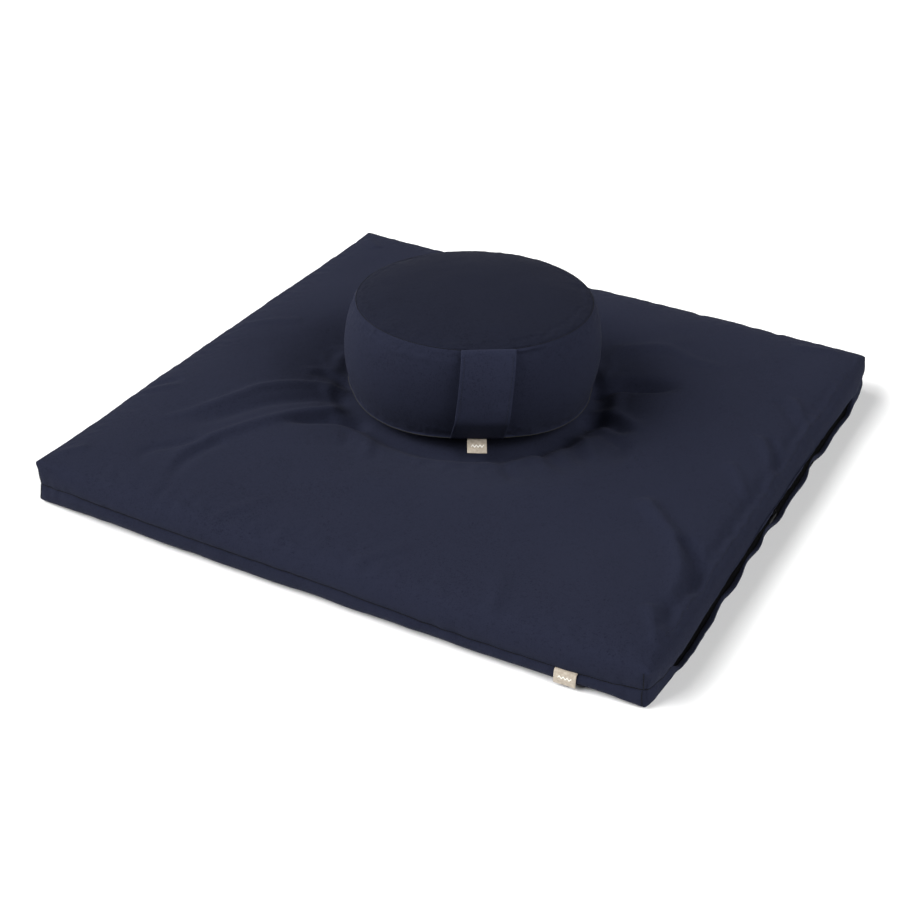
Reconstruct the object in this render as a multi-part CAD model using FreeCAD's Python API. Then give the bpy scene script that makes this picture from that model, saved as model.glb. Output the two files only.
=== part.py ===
"""Meditation cushion set: a round husk-filled cushion resting on a square floor mat.

Row frame: millimetres, +Z up, origin on the floor under the middle of the mat.
The mat's labelled side faces -Y and its zipped side faces +X.
"""

import FreeCAD
import Part
import math
import os

Vector = FreeCAD.Vector
UP = Vector(0, 0, 1)

# ---------------------------------------------------------------- cloth
COVER_T = 0.8          # cotton canvas of both covers
CASE_T = 0.4           # thin cotton of the inner case and the inner bag
LAYER_GAP = 0.2        # air between two layers that only lie on each other

# ---------------------------------------------------------------- mat
MAT_SIDE = 794.0       # side of the square cover
MAT_HEIGHT = 68.0      # top of the filled cover
MAT_SEAM_Z = 24.0      # seam that joins the top and bottom panels; the zip lies along it
MAT_TOP_R = 30.0       # rounding of the top edge
MAT_BOTTOM_R = 8.0     # rounding of the bottom edge
CASE_SIDE_GAP = 6.0    # room between the cover's sides and the inner case
BATTING_LAYERS = 4

# ---------------------------------------------------------------- dent under the round cushion
DENT_DEPTH = 10.0
DENT_FLAT_R = 170.0
DENT_RIM_R = 207.0

# ---------------------------------------------------------------- round cushion
CUSHION_X = -22.0
CUSHION_Y = 20.0
CUSHION_LIFT = 0.4     # clearance over the floor of the dent
CUSHION_Z = MAT_HEIGHT - DENT_DEPTH + CUSHION_LIFT
BASE_R = 10.0          # rounding between the flat base and the band
BASE_SEAM_R = 157.0    # radius at the seam of the bottom panel, BASE_R above the base
BULGE_R = 161.5        # radius of the band where it bulges, BULGE_H above the base
BULGE_H = 68.0
TOP_SEAM_R = 148.0
TOP_SEAM_H = 131.0
CROWN_H = 147.0        # middle of the top panel
BAG_GAP = 7.0          # room between the band and the inner bag, for the back of the zip

# ---------------------------------------------------------------- handle and labels
HANDLE_ANGLE = -58.0   # direction that the handle faces, in degrees from +X
HANDLE_W = 64.0
HANDLE_T = 2.0
HANDLE_TOP = (149.8, 130.5)      # radius and height of the strap's middle line at its ends
HANDLE_BELLY = (171.0, 64.0)
HANDLE_FOOT = (158.9, 8.5)
LABEL_W = 25.0
LABEL_T = 0.6
MAT_LABEL_X = 304.0
MAT_LABEL_DROP = 17.0
LABEL_STANDOFF = 1.8
CUSHION_LABEL_ROOT = (157.9, 6.3)
CUSHION_LABEL_TIP = (171.0, 2.6)

# ---------------------------------------------------------------- zips (a coil zip, 26 mm wide)
ZIP_WINDOW_H = 26.0    # height of the gap between the two hems on the mat
CUSHION_WINDOW_H = 10.0
CHAIN_W = 1.7          # one side's row of teeth
CHAIN_T = 1.8
CHAIN_GAP = 0.6        # slot between the two rows, for the slider's web
TAPE_T = 0.6
TAPE_LAP = 2.5         # how far a tape runs behind its hem
MAT_ZIP_Y = (-345.0, 325.0)
MAT_SLIDER_Y = -8.0    # where the slider stands, near the middle of the side
MAT_TAPE_X = MAT_SIDE / 2 - COVER_T - 0.7      # middle of the tape's thickness
CUSHION_TAPE_R = 156.4
CUSHION_ZIP_H = 20.0   # height of the chain above the cushion's base
CUSHION_ZIP_ARC = 150.0
CUSHION_ZIP_START = 45.0         # first end of the zip, in degrees from +X

# ---------------------------------------------------------------- slider and pull
SLIDER_L = 11.0
SLIDER_W = 7.0
SLIDER_PLATE_T = 1.0
SLIDER_CLEAR = 0.3
WEB_T = 0.36
POST_T = 1.0
PIN_R = 0.6
PIN_CLEAR = 0.1
PULL_W = 4.4
PULL_T = 1.4
PULL_L = 24.0
STOP_L = 3.0


def arc(a, b, c):
    """Arc edge through three points given as (u, z) pairs in the XZ plane."""
    return Part.Arc(*[Vector(u, 0, z) for u, z in (a, b, c)]).toShape()


def line(a, b):
    """Straight edge between two (u, z) pairs in the XZ plane."""
    return Part.LineSegment(Vector(a[0], 0, a[1]), Vector(b[0], 0, b[1])).toShape()


def face(edges):
    return Part.Face(Part.Wire(edges))


def box(low, high):
    size = [h - l for l, h in zip(low, high)]
    return Part.makeBox(*size, Vector(*low))


def bow_middle(a, b, rise):
    """Middle point of a shallow arc from a to b that stands `rise` off its chord, to the right of a to b."""
    du, dz = b[0] - a[0], b[1] - a[1]
    length = math.hypot(du, dz)
    return ((a[0] + b[0]) / 2 + dz / length * rise, (a[1] + b[1]) / 2 - du / length * rise)


def quarter(centre, radius, start, turn):
    """Arc edge of `turn` degrees about centre in the XZ plane, from `start` degrees."""
    def at(angle):
        a = math.radians(angle)
        return (centre[0] + radius * math.cos(a), centre[1] + radius * math.sin(a))
    return arc(at(start), at(start + turn / 2), at(start + turn))


# ---------------------------------------------------------------- the mat's shapes

def pillow_block(half, low, high, top_r, bottom_r):
    """Square pad with rounded top and bottom edges whose roundings meet in a mitre at each corner."""
    outline = [
        line((-half + bottom_r, low), (half - bottom_r, low)),
        quarter((half - bottom_r, low + bottom_r), bottom_r, -90, 90),
        line((half, low + bottom_r), (half, high - top_r)),
        quarter((half - top_r, high - top_r), top_r, 0, 90),
        line((half - top_r, high), (-half + top_r, high)),
        quarter((-half + top_r, high - top_r), top_r, 90, 90),
        line((-half, high - top_r), (-half, low + bottom_r)),
        quarter((-half + bottom_r, low + bottom_r), bottom_r, 180, 90),
    ]
    reach = half + 5
    along_y = face(outline).extrude(Vector(0, 2 * reach, 0))
    along_y.translate(Vector(0, -reach, 0))
    along_x = along_y.copy()
    along_x.rotate(Vector(0, 0, 0), UP, 90)
    return along_y.common(along_x)


def dent_tool(drop):
    """Everything above the dent's surface, with that surface lowered by `drop`."""
    low = MAT_HEIGHT - DENT_DEPTH - drop
    high = MAT_HEIGHT - drop
    above = MAT_HEIGHT + 40
    run = DENT_RIM_R - DENT_FLAT_R
    radius = (run ** 2 + DENT_DEPTH ** 2) / (4 * DENT_DEPTH)
    turn = math.degrees(math.asin(run / 2 / radius))
    outline = [
        line((0, low), (DENT_FLAT_R, low)),
        quarter((DENT_FLAT_R, low + radius), radius, -90, turn),
        quarter((DENT_RIM_R, high - radius), radius, 90 + turn, -turn),
        line((DENT_RIM_R, high), (DENT_RIM_R, above)),
        line((DENT_RIM_R, above), (0, above)),
        line((0, above), (0, low)),
    ]
    tool = face(outline).revolve(Vector(0, 0, 0), UP, 360)
    tool.translate(Vector(CUSHION_X, CUSHION_Y, 0))
    return tool


def mat_block(side_inset, inset):
    """The mat's filled shape with its sides moved in by side_inset and its top, bottom and dent by inset."""
    block = pillow_block(
        MAT_SIDE / 2 - side_inset, inset, MAT_HEIGHT - inset, MAT_TOP_R - inset, MAT_BOTTOM_R - inset
    )
    return block.cut(dent_tool(inset))


def above_seam():
    reach = MAT_SIDE
    return box((-reach, -reach, MAT_SEAM_Z), (reach, reach, MAT_HEIGHT + 50))


def below_seam():
    reach = MAT_SIDE
    return box((-reach, -reach, -50), (reach, reach, MAT_SEAM_Z))


def mat_zip_window():
    """The gap between the two hems on the zipped side."""
    return box(
        (MAT_SIDE / 2 - 10, MAT_ZIP_Y[0], MAT_SEAM_Z - ZIP_WINDOW_H / 2),
        (MAT_SIDE / 2 + 10, MAT_ZIP_Y[1], MAT_SEAM_Z + ZIP_WINDOW_H / 2),
    )


def mat_cover():
    shell = mat_block(0, 0).cut(mat_block(COVER_T, COVER_T)).cut(mat_zip_window())
    return {
        "mat_top_panel": shell.common(above_seam()),
        "mat_bottom_panel": shell.common(below_seam()),
    }


def mat_inner_case():
    inset = COVER_T + LAYER_GAP
    outer = mat_block(CASE_SIDE_GAP, inset)
    inner = mat_block(CASE_SIDE_GAP + CASE_T, inset + CASE_T)
    shell = outer.cut(inner)
    return {
        "mat_inner_case_top": shell.common(above_seam()),
        "mat_inner_case_bottom": shell.common(below_seam()),
    }


def mat_batting():
    """Cotton batting layers, stacked; the dent only presses into the top one."""
    inset = COVER_T + CASE_T + 2 * LAYER_GAP
    stack = mat_block(CASE_SIDE_GAP + CASE_T + LAYER_GAP, inset)
    pitch = (MAT_HEIGHT - 2 * inset) / BATTING_LAYERS
    parts = {}
    for number in range(BATTING_LAYERS):
        low = inset + number * pitch
        slab = box((-MAT_SIDE, -MAT_SIDE, low), (MAT_SIDE, MAT_SIDE, low + pitch - LAYER_GAP))
        parts[f"mat_batting_layer_{number + 1}"] = stack.common(slab)
    return parts


def mat_zip():
    """Straight zip on the +X side: two tapes, two rows of teeth, and the stops at its ends."""
    x, z = MAT_TAPE_X, MAT_SEAM_Z
    y0, y1 = MAT_ZIP_Y
    inner = CHAIN_GAP / 2
    outer = inner + CHAIN_W
    reach = ZIP_WINDOW_H / 2 + TAPE_LAP
    parts = {}
    for name, sign in (("upper", 1), ("lower", -1)):
        near, far = sorted((z + sign * outer, z + sign * reach))
        parts[f"mat_zip_tape_{name}"] = box((x - TAPE_T / 2, y0, near), (x + TAPE_T / 2, y1, far))
        near, far = sorted((z + sign * inner, z + sign * outer))
        first, last = y0 + STOP_L, y1 - STOP_L
        parts[f"mat_zip_teeth_{name}"] = box((x - CHAIN_T / 2, first, near), (x + CHAIN_T / 2, last, far))
    stops = [
        box((x - CHAIN_T / 2, y0, z - outer), (x + CHAIN_T / 2, y0 + STOP_L, z + outer)),
        box((x - CHAIN_T / 2, y1 - STOP_L, z + inner), (x + CHAIN_T / 2, y1, z + outer)),
        box((x - CHAIN_T / 2, y1 - STOP_L, z - outer), (x + CHAIN_T / 2, y1, z - inner)),
    ]
    parts["mat_zip_stops"] = Part.makeCompound(stops)
    return parts


def slider_and_pull():
    """Zip slider and its pull tab, in their own frame: the chain runs along Y, the front faces +X, and the
    middle of the chain is at the origin. The pull lies towards -Y and turns about the pin along Z."""
    front = CHAIN_T / 2 + SLIDER_CLEAR
    back = -front
    half_l, half_w = SLIDER_L / 2, SLIDER_W / 2
    plate = box((front, -half_l, -half_w), (front + SLIDER_PLATE_T, half_l, half_w))
    plate = plate.makeFillet(1.6, [e for e in plate.Edges if abs(e.Length - SLIDER_PLATE_T) < 1e-6])
    rear = box((back - SLIDER_PLATE_T, -half_l, -half_w), (back, half_l, half_w))
    rear = rear.makeFillet(1.6, [e for e in rear.Edges if abs(e.Length - SLIDER_PLATE_T) < 1e-6])
    web = box((back - 0.1, half_l - 4.0, -WEB_T / 2), (front + 0.1, half_l, WEB_T / 2))
    plate_top = front + SLIDER_PLATE_T
    pin_x = plate_top + PULL_T / 2 + SLIDER_CLEAR + 0.2
    pin_y = 1.0
    post_inner = PULL_W / 2 + PIN_CLEAR
    posts = []
    for sign in (1, -1):
        low, high = sorted((sign * post_inner, sign * (post_inner + POST_T)))
        post = box((plate_top - 0.1, pin_y - 1.2, low), (pin_x, pin_y + 1.2, high))
        cap = Part.makeCylinder(1.2, POST_T, Vector(pin_x, pin_y, low), UP)
        posts.append(post.fuse(cap))
    pin = Part.makeCylinder(PIN_R, 2 * post_inner + 0.4, Vector(pin_x, pin_y, -post_inner - 0.2), UP)
    slider = plate.multiFuse([rear, web, pin, *posts]).removeSplitter()

    eye_r = PULL_T / 2 + 0.3
    eye = Part.makeCylinder(eye_r, PULL_W, Vector(pin_x, pin_y, -PULL_W / 2), UP)
    blade = box(
        (pin_x - PULL_T / 2, pin_y - PULL_L, -PULL_W / 2), (pin_x + PULL_T / 2, pin_y, PULL_W / 2)
    )
    ends = [
        e for e in blade.Edges
        if abs(e.Length - PULL_T) < 1e-6 and e.CenterOfMass.y < pin_y - PULL_L / 2
    ]
    blade = blade.makeFillet(1.8, ends)
    bore = Part.makeCylinder(PIN_R + PIN_CLEAR, PULL_W + 2, Vector(pin_x, pin_y, -PULL_W / 2 - 1), UP)
    slot = Part.makeCylinder(1.1, PULL_T + 2, Vector(pin_x - PULL_T / 2 - 1, pin_y - PULL_L + 4, 0), Vector(1, 0, 0))
    pull = blade.fuse(eye).cut(bore).cut(slot).removeSplitter()
    return slider, pull


def mat_zip_slider():
    """The slider stands near the middle of the zip, with its pull lying along the teeth."""
    slider, pull = slider_and_pull()
    place = Vector(MAT_TAPE_X, MAT_SLIDER_Y, MAT_SEAM_Z)
    slider.translate(place)
    pull.translate(place)
    return {"mat_zip_slider": slider, "mat_zip_pull": pull}


def mat_label():
    """Folded label that hangs from the front seam."""
    outer = -MAT_SIDE / 2 - LABEL_STANDOFF
    return box(
        (MAT_LABEL_X - LABEL_W / 2, outer - LABEL_T, MAT_SEAM_Z - MAT_LABEL_DROP),
        (MAT_LABEL_X + LABEL_W / 2, outer, MAT_SEAM_Z),
    )


# ---------------------------------------------------------------- the round cushion's shapes

def cushion_points(inset, side_inset):
    """Corners of the cushion's half section, moved in by inset and, at the sides, by side_inset."""
    seam_r = TOP_SEAM_R - side_inset
    return {
        "base": (0, inset),
        "base_edge": (BASE_SEAM_R - BASE_R, inset),
        "base_seam": (BASE_SEAM_R - side_inset, BASE_R),
        "bulge": (BULGE_R - side_inset, BULGE_H),
        "top_seam": (seam_r, TOP_SEAM_H - inset),
        "crown": (0, CROWN_H - inset),
    }


def base_curve(p):
    """From the flat base up to the base seam."""
    edge, seam = p["base_edge"], p["base_seam"]
    middle = bow_middle(edge, seam, 0.207 * math.hypot(seam[0] - edge[0], seam[1] - edge[1]))
    return arc(edge, middle, seam)


def band_curve(p):
    return arc(p["base_seam"], p["bulge"], p["top_seam"])


def crown_curve(p):
    seam, crown = p["top_seam"], p["crown"]
    rise = crown[1] - seam[1]
    radius = (seam[0] ** 2 + rise ** 2) / (2 * rise)
    half = math.asin(seam[0] / radius) / 2
    middle = (radius * math.sin(half), crown[1] - radius * (1 - math.cos(half)))
    return arc(seam, middle, crown)


def revolved(edges):
    solid = face(edges).revolve(Vector(0, 0, 0), UP, 360)
    solid.translate(Vector(CUSHION_X, CUSHION_Y, CUSHION_Z))
    return solid


def skin_pieces(outer, inner):
    """Bottom panel, band and top panel between two half sections; they meet at the two seams."""
    bottom = revolved([
        line(outer["base"], outer["base_edge"]), base_curve(outer),
        line(outer["base_seam"], inner["base_seam"]), base_curve(inner),
        line(inner["base_edge"], inner["base"]), line(inner["base"], outer["base"]),
    ])
    band = revolved([
        band_curve(outer), line(outer["top_seam"], inner["top_seam"]),
        band_curve(inner), line(inner["base_seam"], outer["base_seam"]),
    ])
    top = revolved([
        crown_curve(outer), line(outer["crown"], inner["crown"]),
        crown_curve(inner), line(inner["top_seam"], outer["top_seam"]),
    ])
    return bottom, band, top


def wedge(start, turn, low, high, inner_r, outer_r):
    """Ring segment about the cushion's axis: radii and heights above its base, angles in degrees."""
    a = math.radians(start)
    profile = [Vector(r * math.cos(a), r * math.sin(a), z) for r, z in
               ((inner_r, low), (outer_r, low), (outer_r, high), (inner_r, high), (inner_r, low))]
    solid = Part.Face(Part.makePolygon(profile)).revolve(Vector(0, 0, 0), UP, turn)
    solid.translate(Vector(CUSHION_X, CUSHION_Y, CUSHION_Z))
    return solid


def cushion_cover():
    bottom, band, top = skin_pieces(cushion_points(0, 0), cushion_points(COVER_T, COVER_T))
    window = wedge(
        CUSHION_ZIP_START, CUSHION_ZIP_ARC,
        CUSHION_ZIP_H - CUSHION_WINDOW_H / 2, CUSHION_ZIP_H + CUSHION_WINDOW_H / 2,
        BASE_SEAM_R - 15, BULGE_R + 15,
    )
    return {
        "cushion_bottom_panel": bottom,
        "cushion_side_band": band.cut(window),
        "cushion_top_panel": top,
    }


def cushion_inner_bag():
    gap = COVER_T + LAYER_GAP
    outer = cushion_points(gap, BAG_GAP)
    inner = cushion_points(gap + CASE_T, BAG_GAP + CASE_T)
    for points in (outer, inner):
        points["base_edge"] = (points["base_edge"][0] - BAG_GAP, points["base_edge"][1])
    bottom, band, top = skin_pieces(outer, inner)
    return {
        "cushion_inner_bag_bottom": bottom,
        "cushion_inner_bag_band": band,
        "cushion_inner_bag_top": top,
    }


def husk_fill():
    """Loose buckwheat husks, as one solid that fills the inner bag."""
    gap = COVER_T + CASE_T + 2 * LAYER_GAP
    p = cushion_points(gap, BAG_GAP + CASE_T + LAYER_GAP)
    p["base_edge"] = (p["base_edge"][0] - BAG_GAP, p["base_edge"][1])
    return revolved([
        line(p["base"], p["base_edge"]), base_curve(p), band_curve(p),
        crown_curve(p), line(p["crown"], p["base"]),
    ])


def cushion_zip():
    """Zip in the back of the band; it follows the band round the cushion's axis."""
    r, z = CUSHION_TAPE_R, CUSHION_ZIP_H
    start, turn = CUSHION_ZIP_START, CUSHION_ZIP_ARC
    inner = CHAIN_GAP / 2
    outer = inner + CHAIN_W
    reach = CUSHION_WINDOW_H / 2 + TAPE_LAP
    stop_turn = math.degrees(STOP_L / r)
    parts = {}
    for name, sign in (("upper", 1), ("lower", -1)):
        near, far = sorted((z + sign * outer, z + sign * reach))
        parts[f"cushion_zip_tape_{name}"] = wedge(start, turn, near, far, r - TAPE_T / 2, r + TAPE_T / 2)
        near, far = sorted((z + sign * inner, z + sign * outer))
        parts[f"cushion_zip_teeth_{name}"] = wedge(
            start + stop_turn, turn - 2 * stop_turn, near, far, r - CHAIN_T / 2, r + CHAIN_T / 2
        )
    radii = (r - CHAIN_T / 2, r + CHAIN_T / 2)
    last = start + turn - stop_turn
    parts["cushion_zip_stops"] = Part.makeCompound([
        wedge(start, stop_turn, z + inner, z + outer, *radii),
        wedge(start, stop_turn, z - outer, z - inner, *radii),
        wedge(last, stop_turn, z - outer, z + outer, *radii),
    ])
    return parts


def cushion_zip_slider():
    """The slider rests at the first end of the closed zip, with the pull trailing back along the teeth."""
    slider, pull = slider_and_pull()
    rest_turn = CUSHION_ZIP_START + math.degrees((STOP_L + SLIDER_L / 2 + 2) / CUSHION_TAPE_R)
    for shape in (slider, pull):
        shape.rotate(Vector(0, 0, 0), Vector(1, 0, 0), 180)
        shape.translate(Vector(CUSHION_TAPE_R, 0, 0))
        shape.rotate(Vector(0, 0, 0), UP, rest_turn)
        shape.translate(Vector(CUSHION_X, CUSHION_Y, CUSHION_Z + CUSHION_ZIP_H))
    return {"cushion_zip_slider": slider, "cushion_zip_pull": pull}


def facing_handle(solid):
    """Turns a solid made about +X to face the way the handle does, and sets it on the cushion's base."""
    solid.rotate(Vector(0, 0, 0), UP, HANDLE_ANGLE)
    solid.translate(Vector(CUSHION_X, CUSHION_Y, CUSHION_Z))
    return solid


def handle_strap():
    """Flat strap bowed out from the top seam to the base seam."""
    middle = arc(HANDLE_TOP, HANDLE_BELLY, HANDLE_FOOT).Curve
    centre, radius = middle.Center, middle.Radius

    def offset(distance):
        points = []
        for r, h in (HANDLE_TOP, HANDLE_BELLY, HANDLE_FOOT):
            ray = (Vector(r, 0, h) - centre).normalize()
            at = centre + ray * (radius + distance)
            points.append((at.x, at.z))
        return points

    outer, inner = offset(HANDLE_T / 2), offset(-HANDLE_T / 2)
    strap = face([
        arc(*outer), line(outer[2], inner[2]), arc(*reversed(inner)), line(inner[0], outer[0])
    ]).extrude(Vector(0, HANDLE_W, 0))
    strap.translate(Vector(0, -HANDLE_W / 2, 0))
    return facing_handle(strap)


def cushion_label():
    """Folded label sewn in under the foot of the handle."""
    (r0, h0), (r1, h1) = CUSHION_LABEL_ROOT, CUSHION_LABEL_TIP
    length = math.hypot(r1 - r0, h1 - h0)
    up = (-(h1 - h0) / length * LABEL_T, (r1 - r0) / length * LABEL_T)
    corners = [(r0, h0), (r1, h1), (r1 + up[0], h1 + up[1]), (r0 + up[0], h0 + up[1])]
    edges = [line(a, b) for a, b in zip(corners, corners[1:] + corners[:1])]
    label = face(edges).extrude(Vector(0, LABEL_W, 0))
    label.translate(Vector(0, -LABEL_W / 2, 0))
    return facing_handle(label)


def build():
    parts = {}
    for group in (
        mat_cover(), mat_inner_case(), mat_batting(), mat_zip(), mat_zip_slider(),
        {"mat_label": mat_label()},
        cushion_cover(), cushion_inner_bag(), {"husk_fill": husk_fill()},
        cushion_zip(), cushion_zip_slider(),
        {"handle_strap": handle_strap(), "cushion_label": cushion_label()},
    ):
        parts.update(group)
    return parts


def main():
    os.makedirs("parts", exist_ok=True)
    for name, shape in build().items():
        solids = shape.Solids
        whole = solids[0] if len(solids) == 1 else Part.makeCompound(solids)
        b = whole.BoundBox
        print(
            f"{name:28s} solids {len(solids)} valid {whole.isValid()} volume {whole.Volume / 1000:9.2f} cm3 "
            f"x {b.XMin:7.1f} {b.XMax:7.1f} y {b.YMin:7.1f} {b.YMax:7.1f} z {b.ZMin:6.1f} {b.ZMax:6.1f}"
        )
        whole.exportStep(f"parts/{name}.step")


main()
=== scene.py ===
import math

import bpy
import numpy as np
from mathutils import Matrix, Vector
from mathutils.bvhtree import BVHTree


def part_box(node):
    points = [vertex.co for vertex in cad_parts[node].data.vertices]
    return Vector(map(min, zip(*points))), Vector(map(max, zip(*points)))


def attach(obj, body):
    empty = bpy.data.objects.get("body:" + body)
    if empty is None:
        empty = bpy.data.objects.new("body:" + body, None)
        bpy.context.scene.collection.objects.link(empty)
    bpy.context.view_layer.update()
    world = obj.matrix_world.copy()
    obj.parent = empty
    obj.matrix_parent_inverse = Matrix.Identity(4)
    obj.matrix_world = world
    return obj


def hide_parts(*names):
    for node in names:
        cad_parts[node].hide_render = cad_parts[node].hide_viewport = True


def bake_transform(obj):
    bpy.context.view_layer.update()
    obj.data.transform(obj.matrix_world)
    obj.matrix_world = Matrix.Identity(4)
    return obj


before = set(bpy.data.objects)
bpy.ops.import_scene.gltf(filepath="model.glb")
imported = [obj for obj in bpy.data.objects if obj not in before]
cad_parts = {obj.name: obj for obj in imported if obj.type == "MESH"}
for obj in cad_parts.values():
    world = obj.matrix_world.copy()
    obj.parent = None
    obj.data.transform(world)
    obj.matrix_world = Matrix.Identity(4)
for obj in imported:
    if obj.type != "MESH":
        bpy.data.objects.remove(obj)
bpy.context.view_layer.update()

MM = 0.001
COVER_T, LINING_T = 0.8, 0.4           # canvas of the covers, thin cotton inside them
LAYER_GAP = 0.15                       # half the air between two layers of batting
BATTING_FROM, BATTING_SHARE = 0.03, 0.235   # of the filling's height: where the first begins, how thick each is


# ------------------------------------------------------------------ small tools

def smooth(lo, hi, x):
    """0 below lo, 1 above hi, with a soft ramp between."""
    t = np.clip((np.asarray(x, float) - lo) / (hi - lo), 0, 1)
    return t * t * (3 - 2 * t)


def lattice(ix, iy, iz, seed):
    mask = 0xFFFFFFFF
    h = (ix * 374761393 + iy * 668265263 + iz * 2246822519 + seed * 3266489917) & mask
    h = ((h ^ (h >> 15)) * 2246822519) & mask
    h = ((h ^ (h >> 13)) * 3266489917) & mask
    h ^= h >> 16
    return (h & 0xFFFFFF) / float(0xFFFFFF) * 2 - 1


def noise(points, scale, seed):
    """Smooth value noise from -1 to 1 at points (n, 3), with features about `scale` across."""
    p = np.asarray(points, float) / np.asarray(scale, float)
    base = np.floor(p)
    f = p - base
    f = f * f * f * (f * (f * 6 - 15) + 10)
    i = base.astype(np.int64)
    total = np.zeros(len(p))
    for dx in (0, 1):
        wx = f[:, 0] if dx else 1 - f[:, 0]
        for dy in (0, 1):
            wy = f[:, 1] if dy else 1 - f[:, 1]
            for dz in (0, 1):
                wz = f[:, 2] if dz else 1 - f[:, 2]
                total += wx * wy * wz * lattice(i[:, 0] + dx, i[:, 1] + dy, i[:, 2] + dz, seed)
    return total


def layered(points, scale, seed, octaves=3):
    total = np.zeros(len(points))
    for octave in range(octaves):
        total += noise(points, np.asarray(scale) / 2 ** octave, seed + octave) / 2 ** octave
    return total


def make_object(name, vertices, faces, uv=None):
    """New mesh object in the row frame. uv is one pair per vertex, in metres of cloth."""
    mesh = bpy.data.meshes.new(name)
    mesh.from_pydata([tuple(v) for v in np.asarray(vertices, float)], [], [tuple(f) for f in faces])
    mesh.validate()
    if uv is not None:
        layer = mesh.uv_layers.new(name="cloth")
        loops = np.empty(len(mesh.loops), int)
        mesh.loops.foreach_get("vertex_index", loops)
        layer.data.foreach_set("uv", np.asarray(uv, float)[loops].ravel())
    mesh.polygons.foreach_set("use_smooth", [True] * len(mesh.polygons))
    mesh.update()
    obj = bpy.data.objects.new(name, mesh)
    bpy.context.scene.collection.objects.link(obj)
    return obj


def coordinates(mesh):
    out = np.empty(len(mesh.vertices) * 3)
    mesh.vertices.foreach_get("co", out)
    return out.reshape(-1, 3)


def set_coordinates(mesh, points):
    mesh.vertices.foreach_set("co", np.asarray(points, float).ravel())
    mesh.update()


def apply_modifiers(obj):
    """Bakes the modifiers into the mesh."""
    depsgraph = bpy.context.evaluated_depsgraph_get()
    mesh = bpy.data.meshes.new_from_object(obj.evaluated_get(depsgraph))
    obj.modifiers.clear()
    obj.data = mesh


def thicken(obj, thickness, levels=1):
    """One smoothing subdivision, then an inner wall, so that the cloth is a closed shell."""
    if levels:
        sub = obj.modifiers.new("sub", "SUBSURF")
        sub.levels = sub.render_levels = levels
        sub.boundary_smooth = "PRESERVE_CORNERS"
    shell = obj.modifiers.new("shell", "SOLIDIFY")
    shell.thickness = thickness
    shell.offset = -1
    apply_modifiers(obj)


def grid_faces(rows, columns, start=0, wrap=False, flip=False):
    """Quads of a rows by columns block of vertices numbered row by row."""
    faces = []
    for r in range(rows - 1):
        for c in range(columns if wrap else columns - 1):
            d = (c + 1) % columns
            quad = (start + r * columns + c, start + r * columns + d,
                    start + (r + 1) * columns + d, start + (r + 1) * columns + c)
            faces.append(quad[::-1] if flip else quad)
    return faces


def bar_faces(rows, columns):
    """Sides and two end caps of a bar whose section has `columns` points."""
    ends = [tuple(range(columns)), tuple(range((rows - 1) * columns, rows * columns))[::-1]]
    return grid_faces(rows, columns, wrap=True) + ends


def tube_faces(rows, columns, start, flip=False):
    """The same for one of many short tubes, whose points run the other way round."""
    ends = [tuple(range(start, start + columns))[::-1],
            tuple(range(start + (rows - 1) * columns, start + rows * columns))]
    return grid_faces(rows, columns, start, True, flip) + [end[::-1] if flip else end for end in ends]


def spline(knots, count):
    """Catmull-Rom curve through knots, as `count` evenly spaced points."""
    k = np.asarray(knots, float)
    k = np.vstack([2 * k[0] - k[1], k, 2 * k[-1] - k[-2]])
    out = []
    for i in range(1, len(k) - 2):
        t = np.linspace(0, 1, 60, endpoint=False)[:, None]
        p0, p1, p2, p3 = k[i - 1:i + 3]
        out.append(0.5 * (2 * p1 + (p2 - p0) * t + (2 * p0 - 5 * p1 + 4 * p2 - p3) * t ** 2
                          + (3 * p1 - p0 - 3 * p2 + p3) * t ** 3))
    dense = np.vstack(out + [k[-2][None]])
    length = np.concatenate([[0], np.cumsum(np.linalg.norm(np.diff(dense, axis=0), axis=1))])
    at = np.linspace(0, length[-1], count)
    return np.column_stack([np.interp(at, length, dense[:, j]) for j in range(dense.shape[1])])


# ------------------------------------------------------------------ materials

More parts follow.
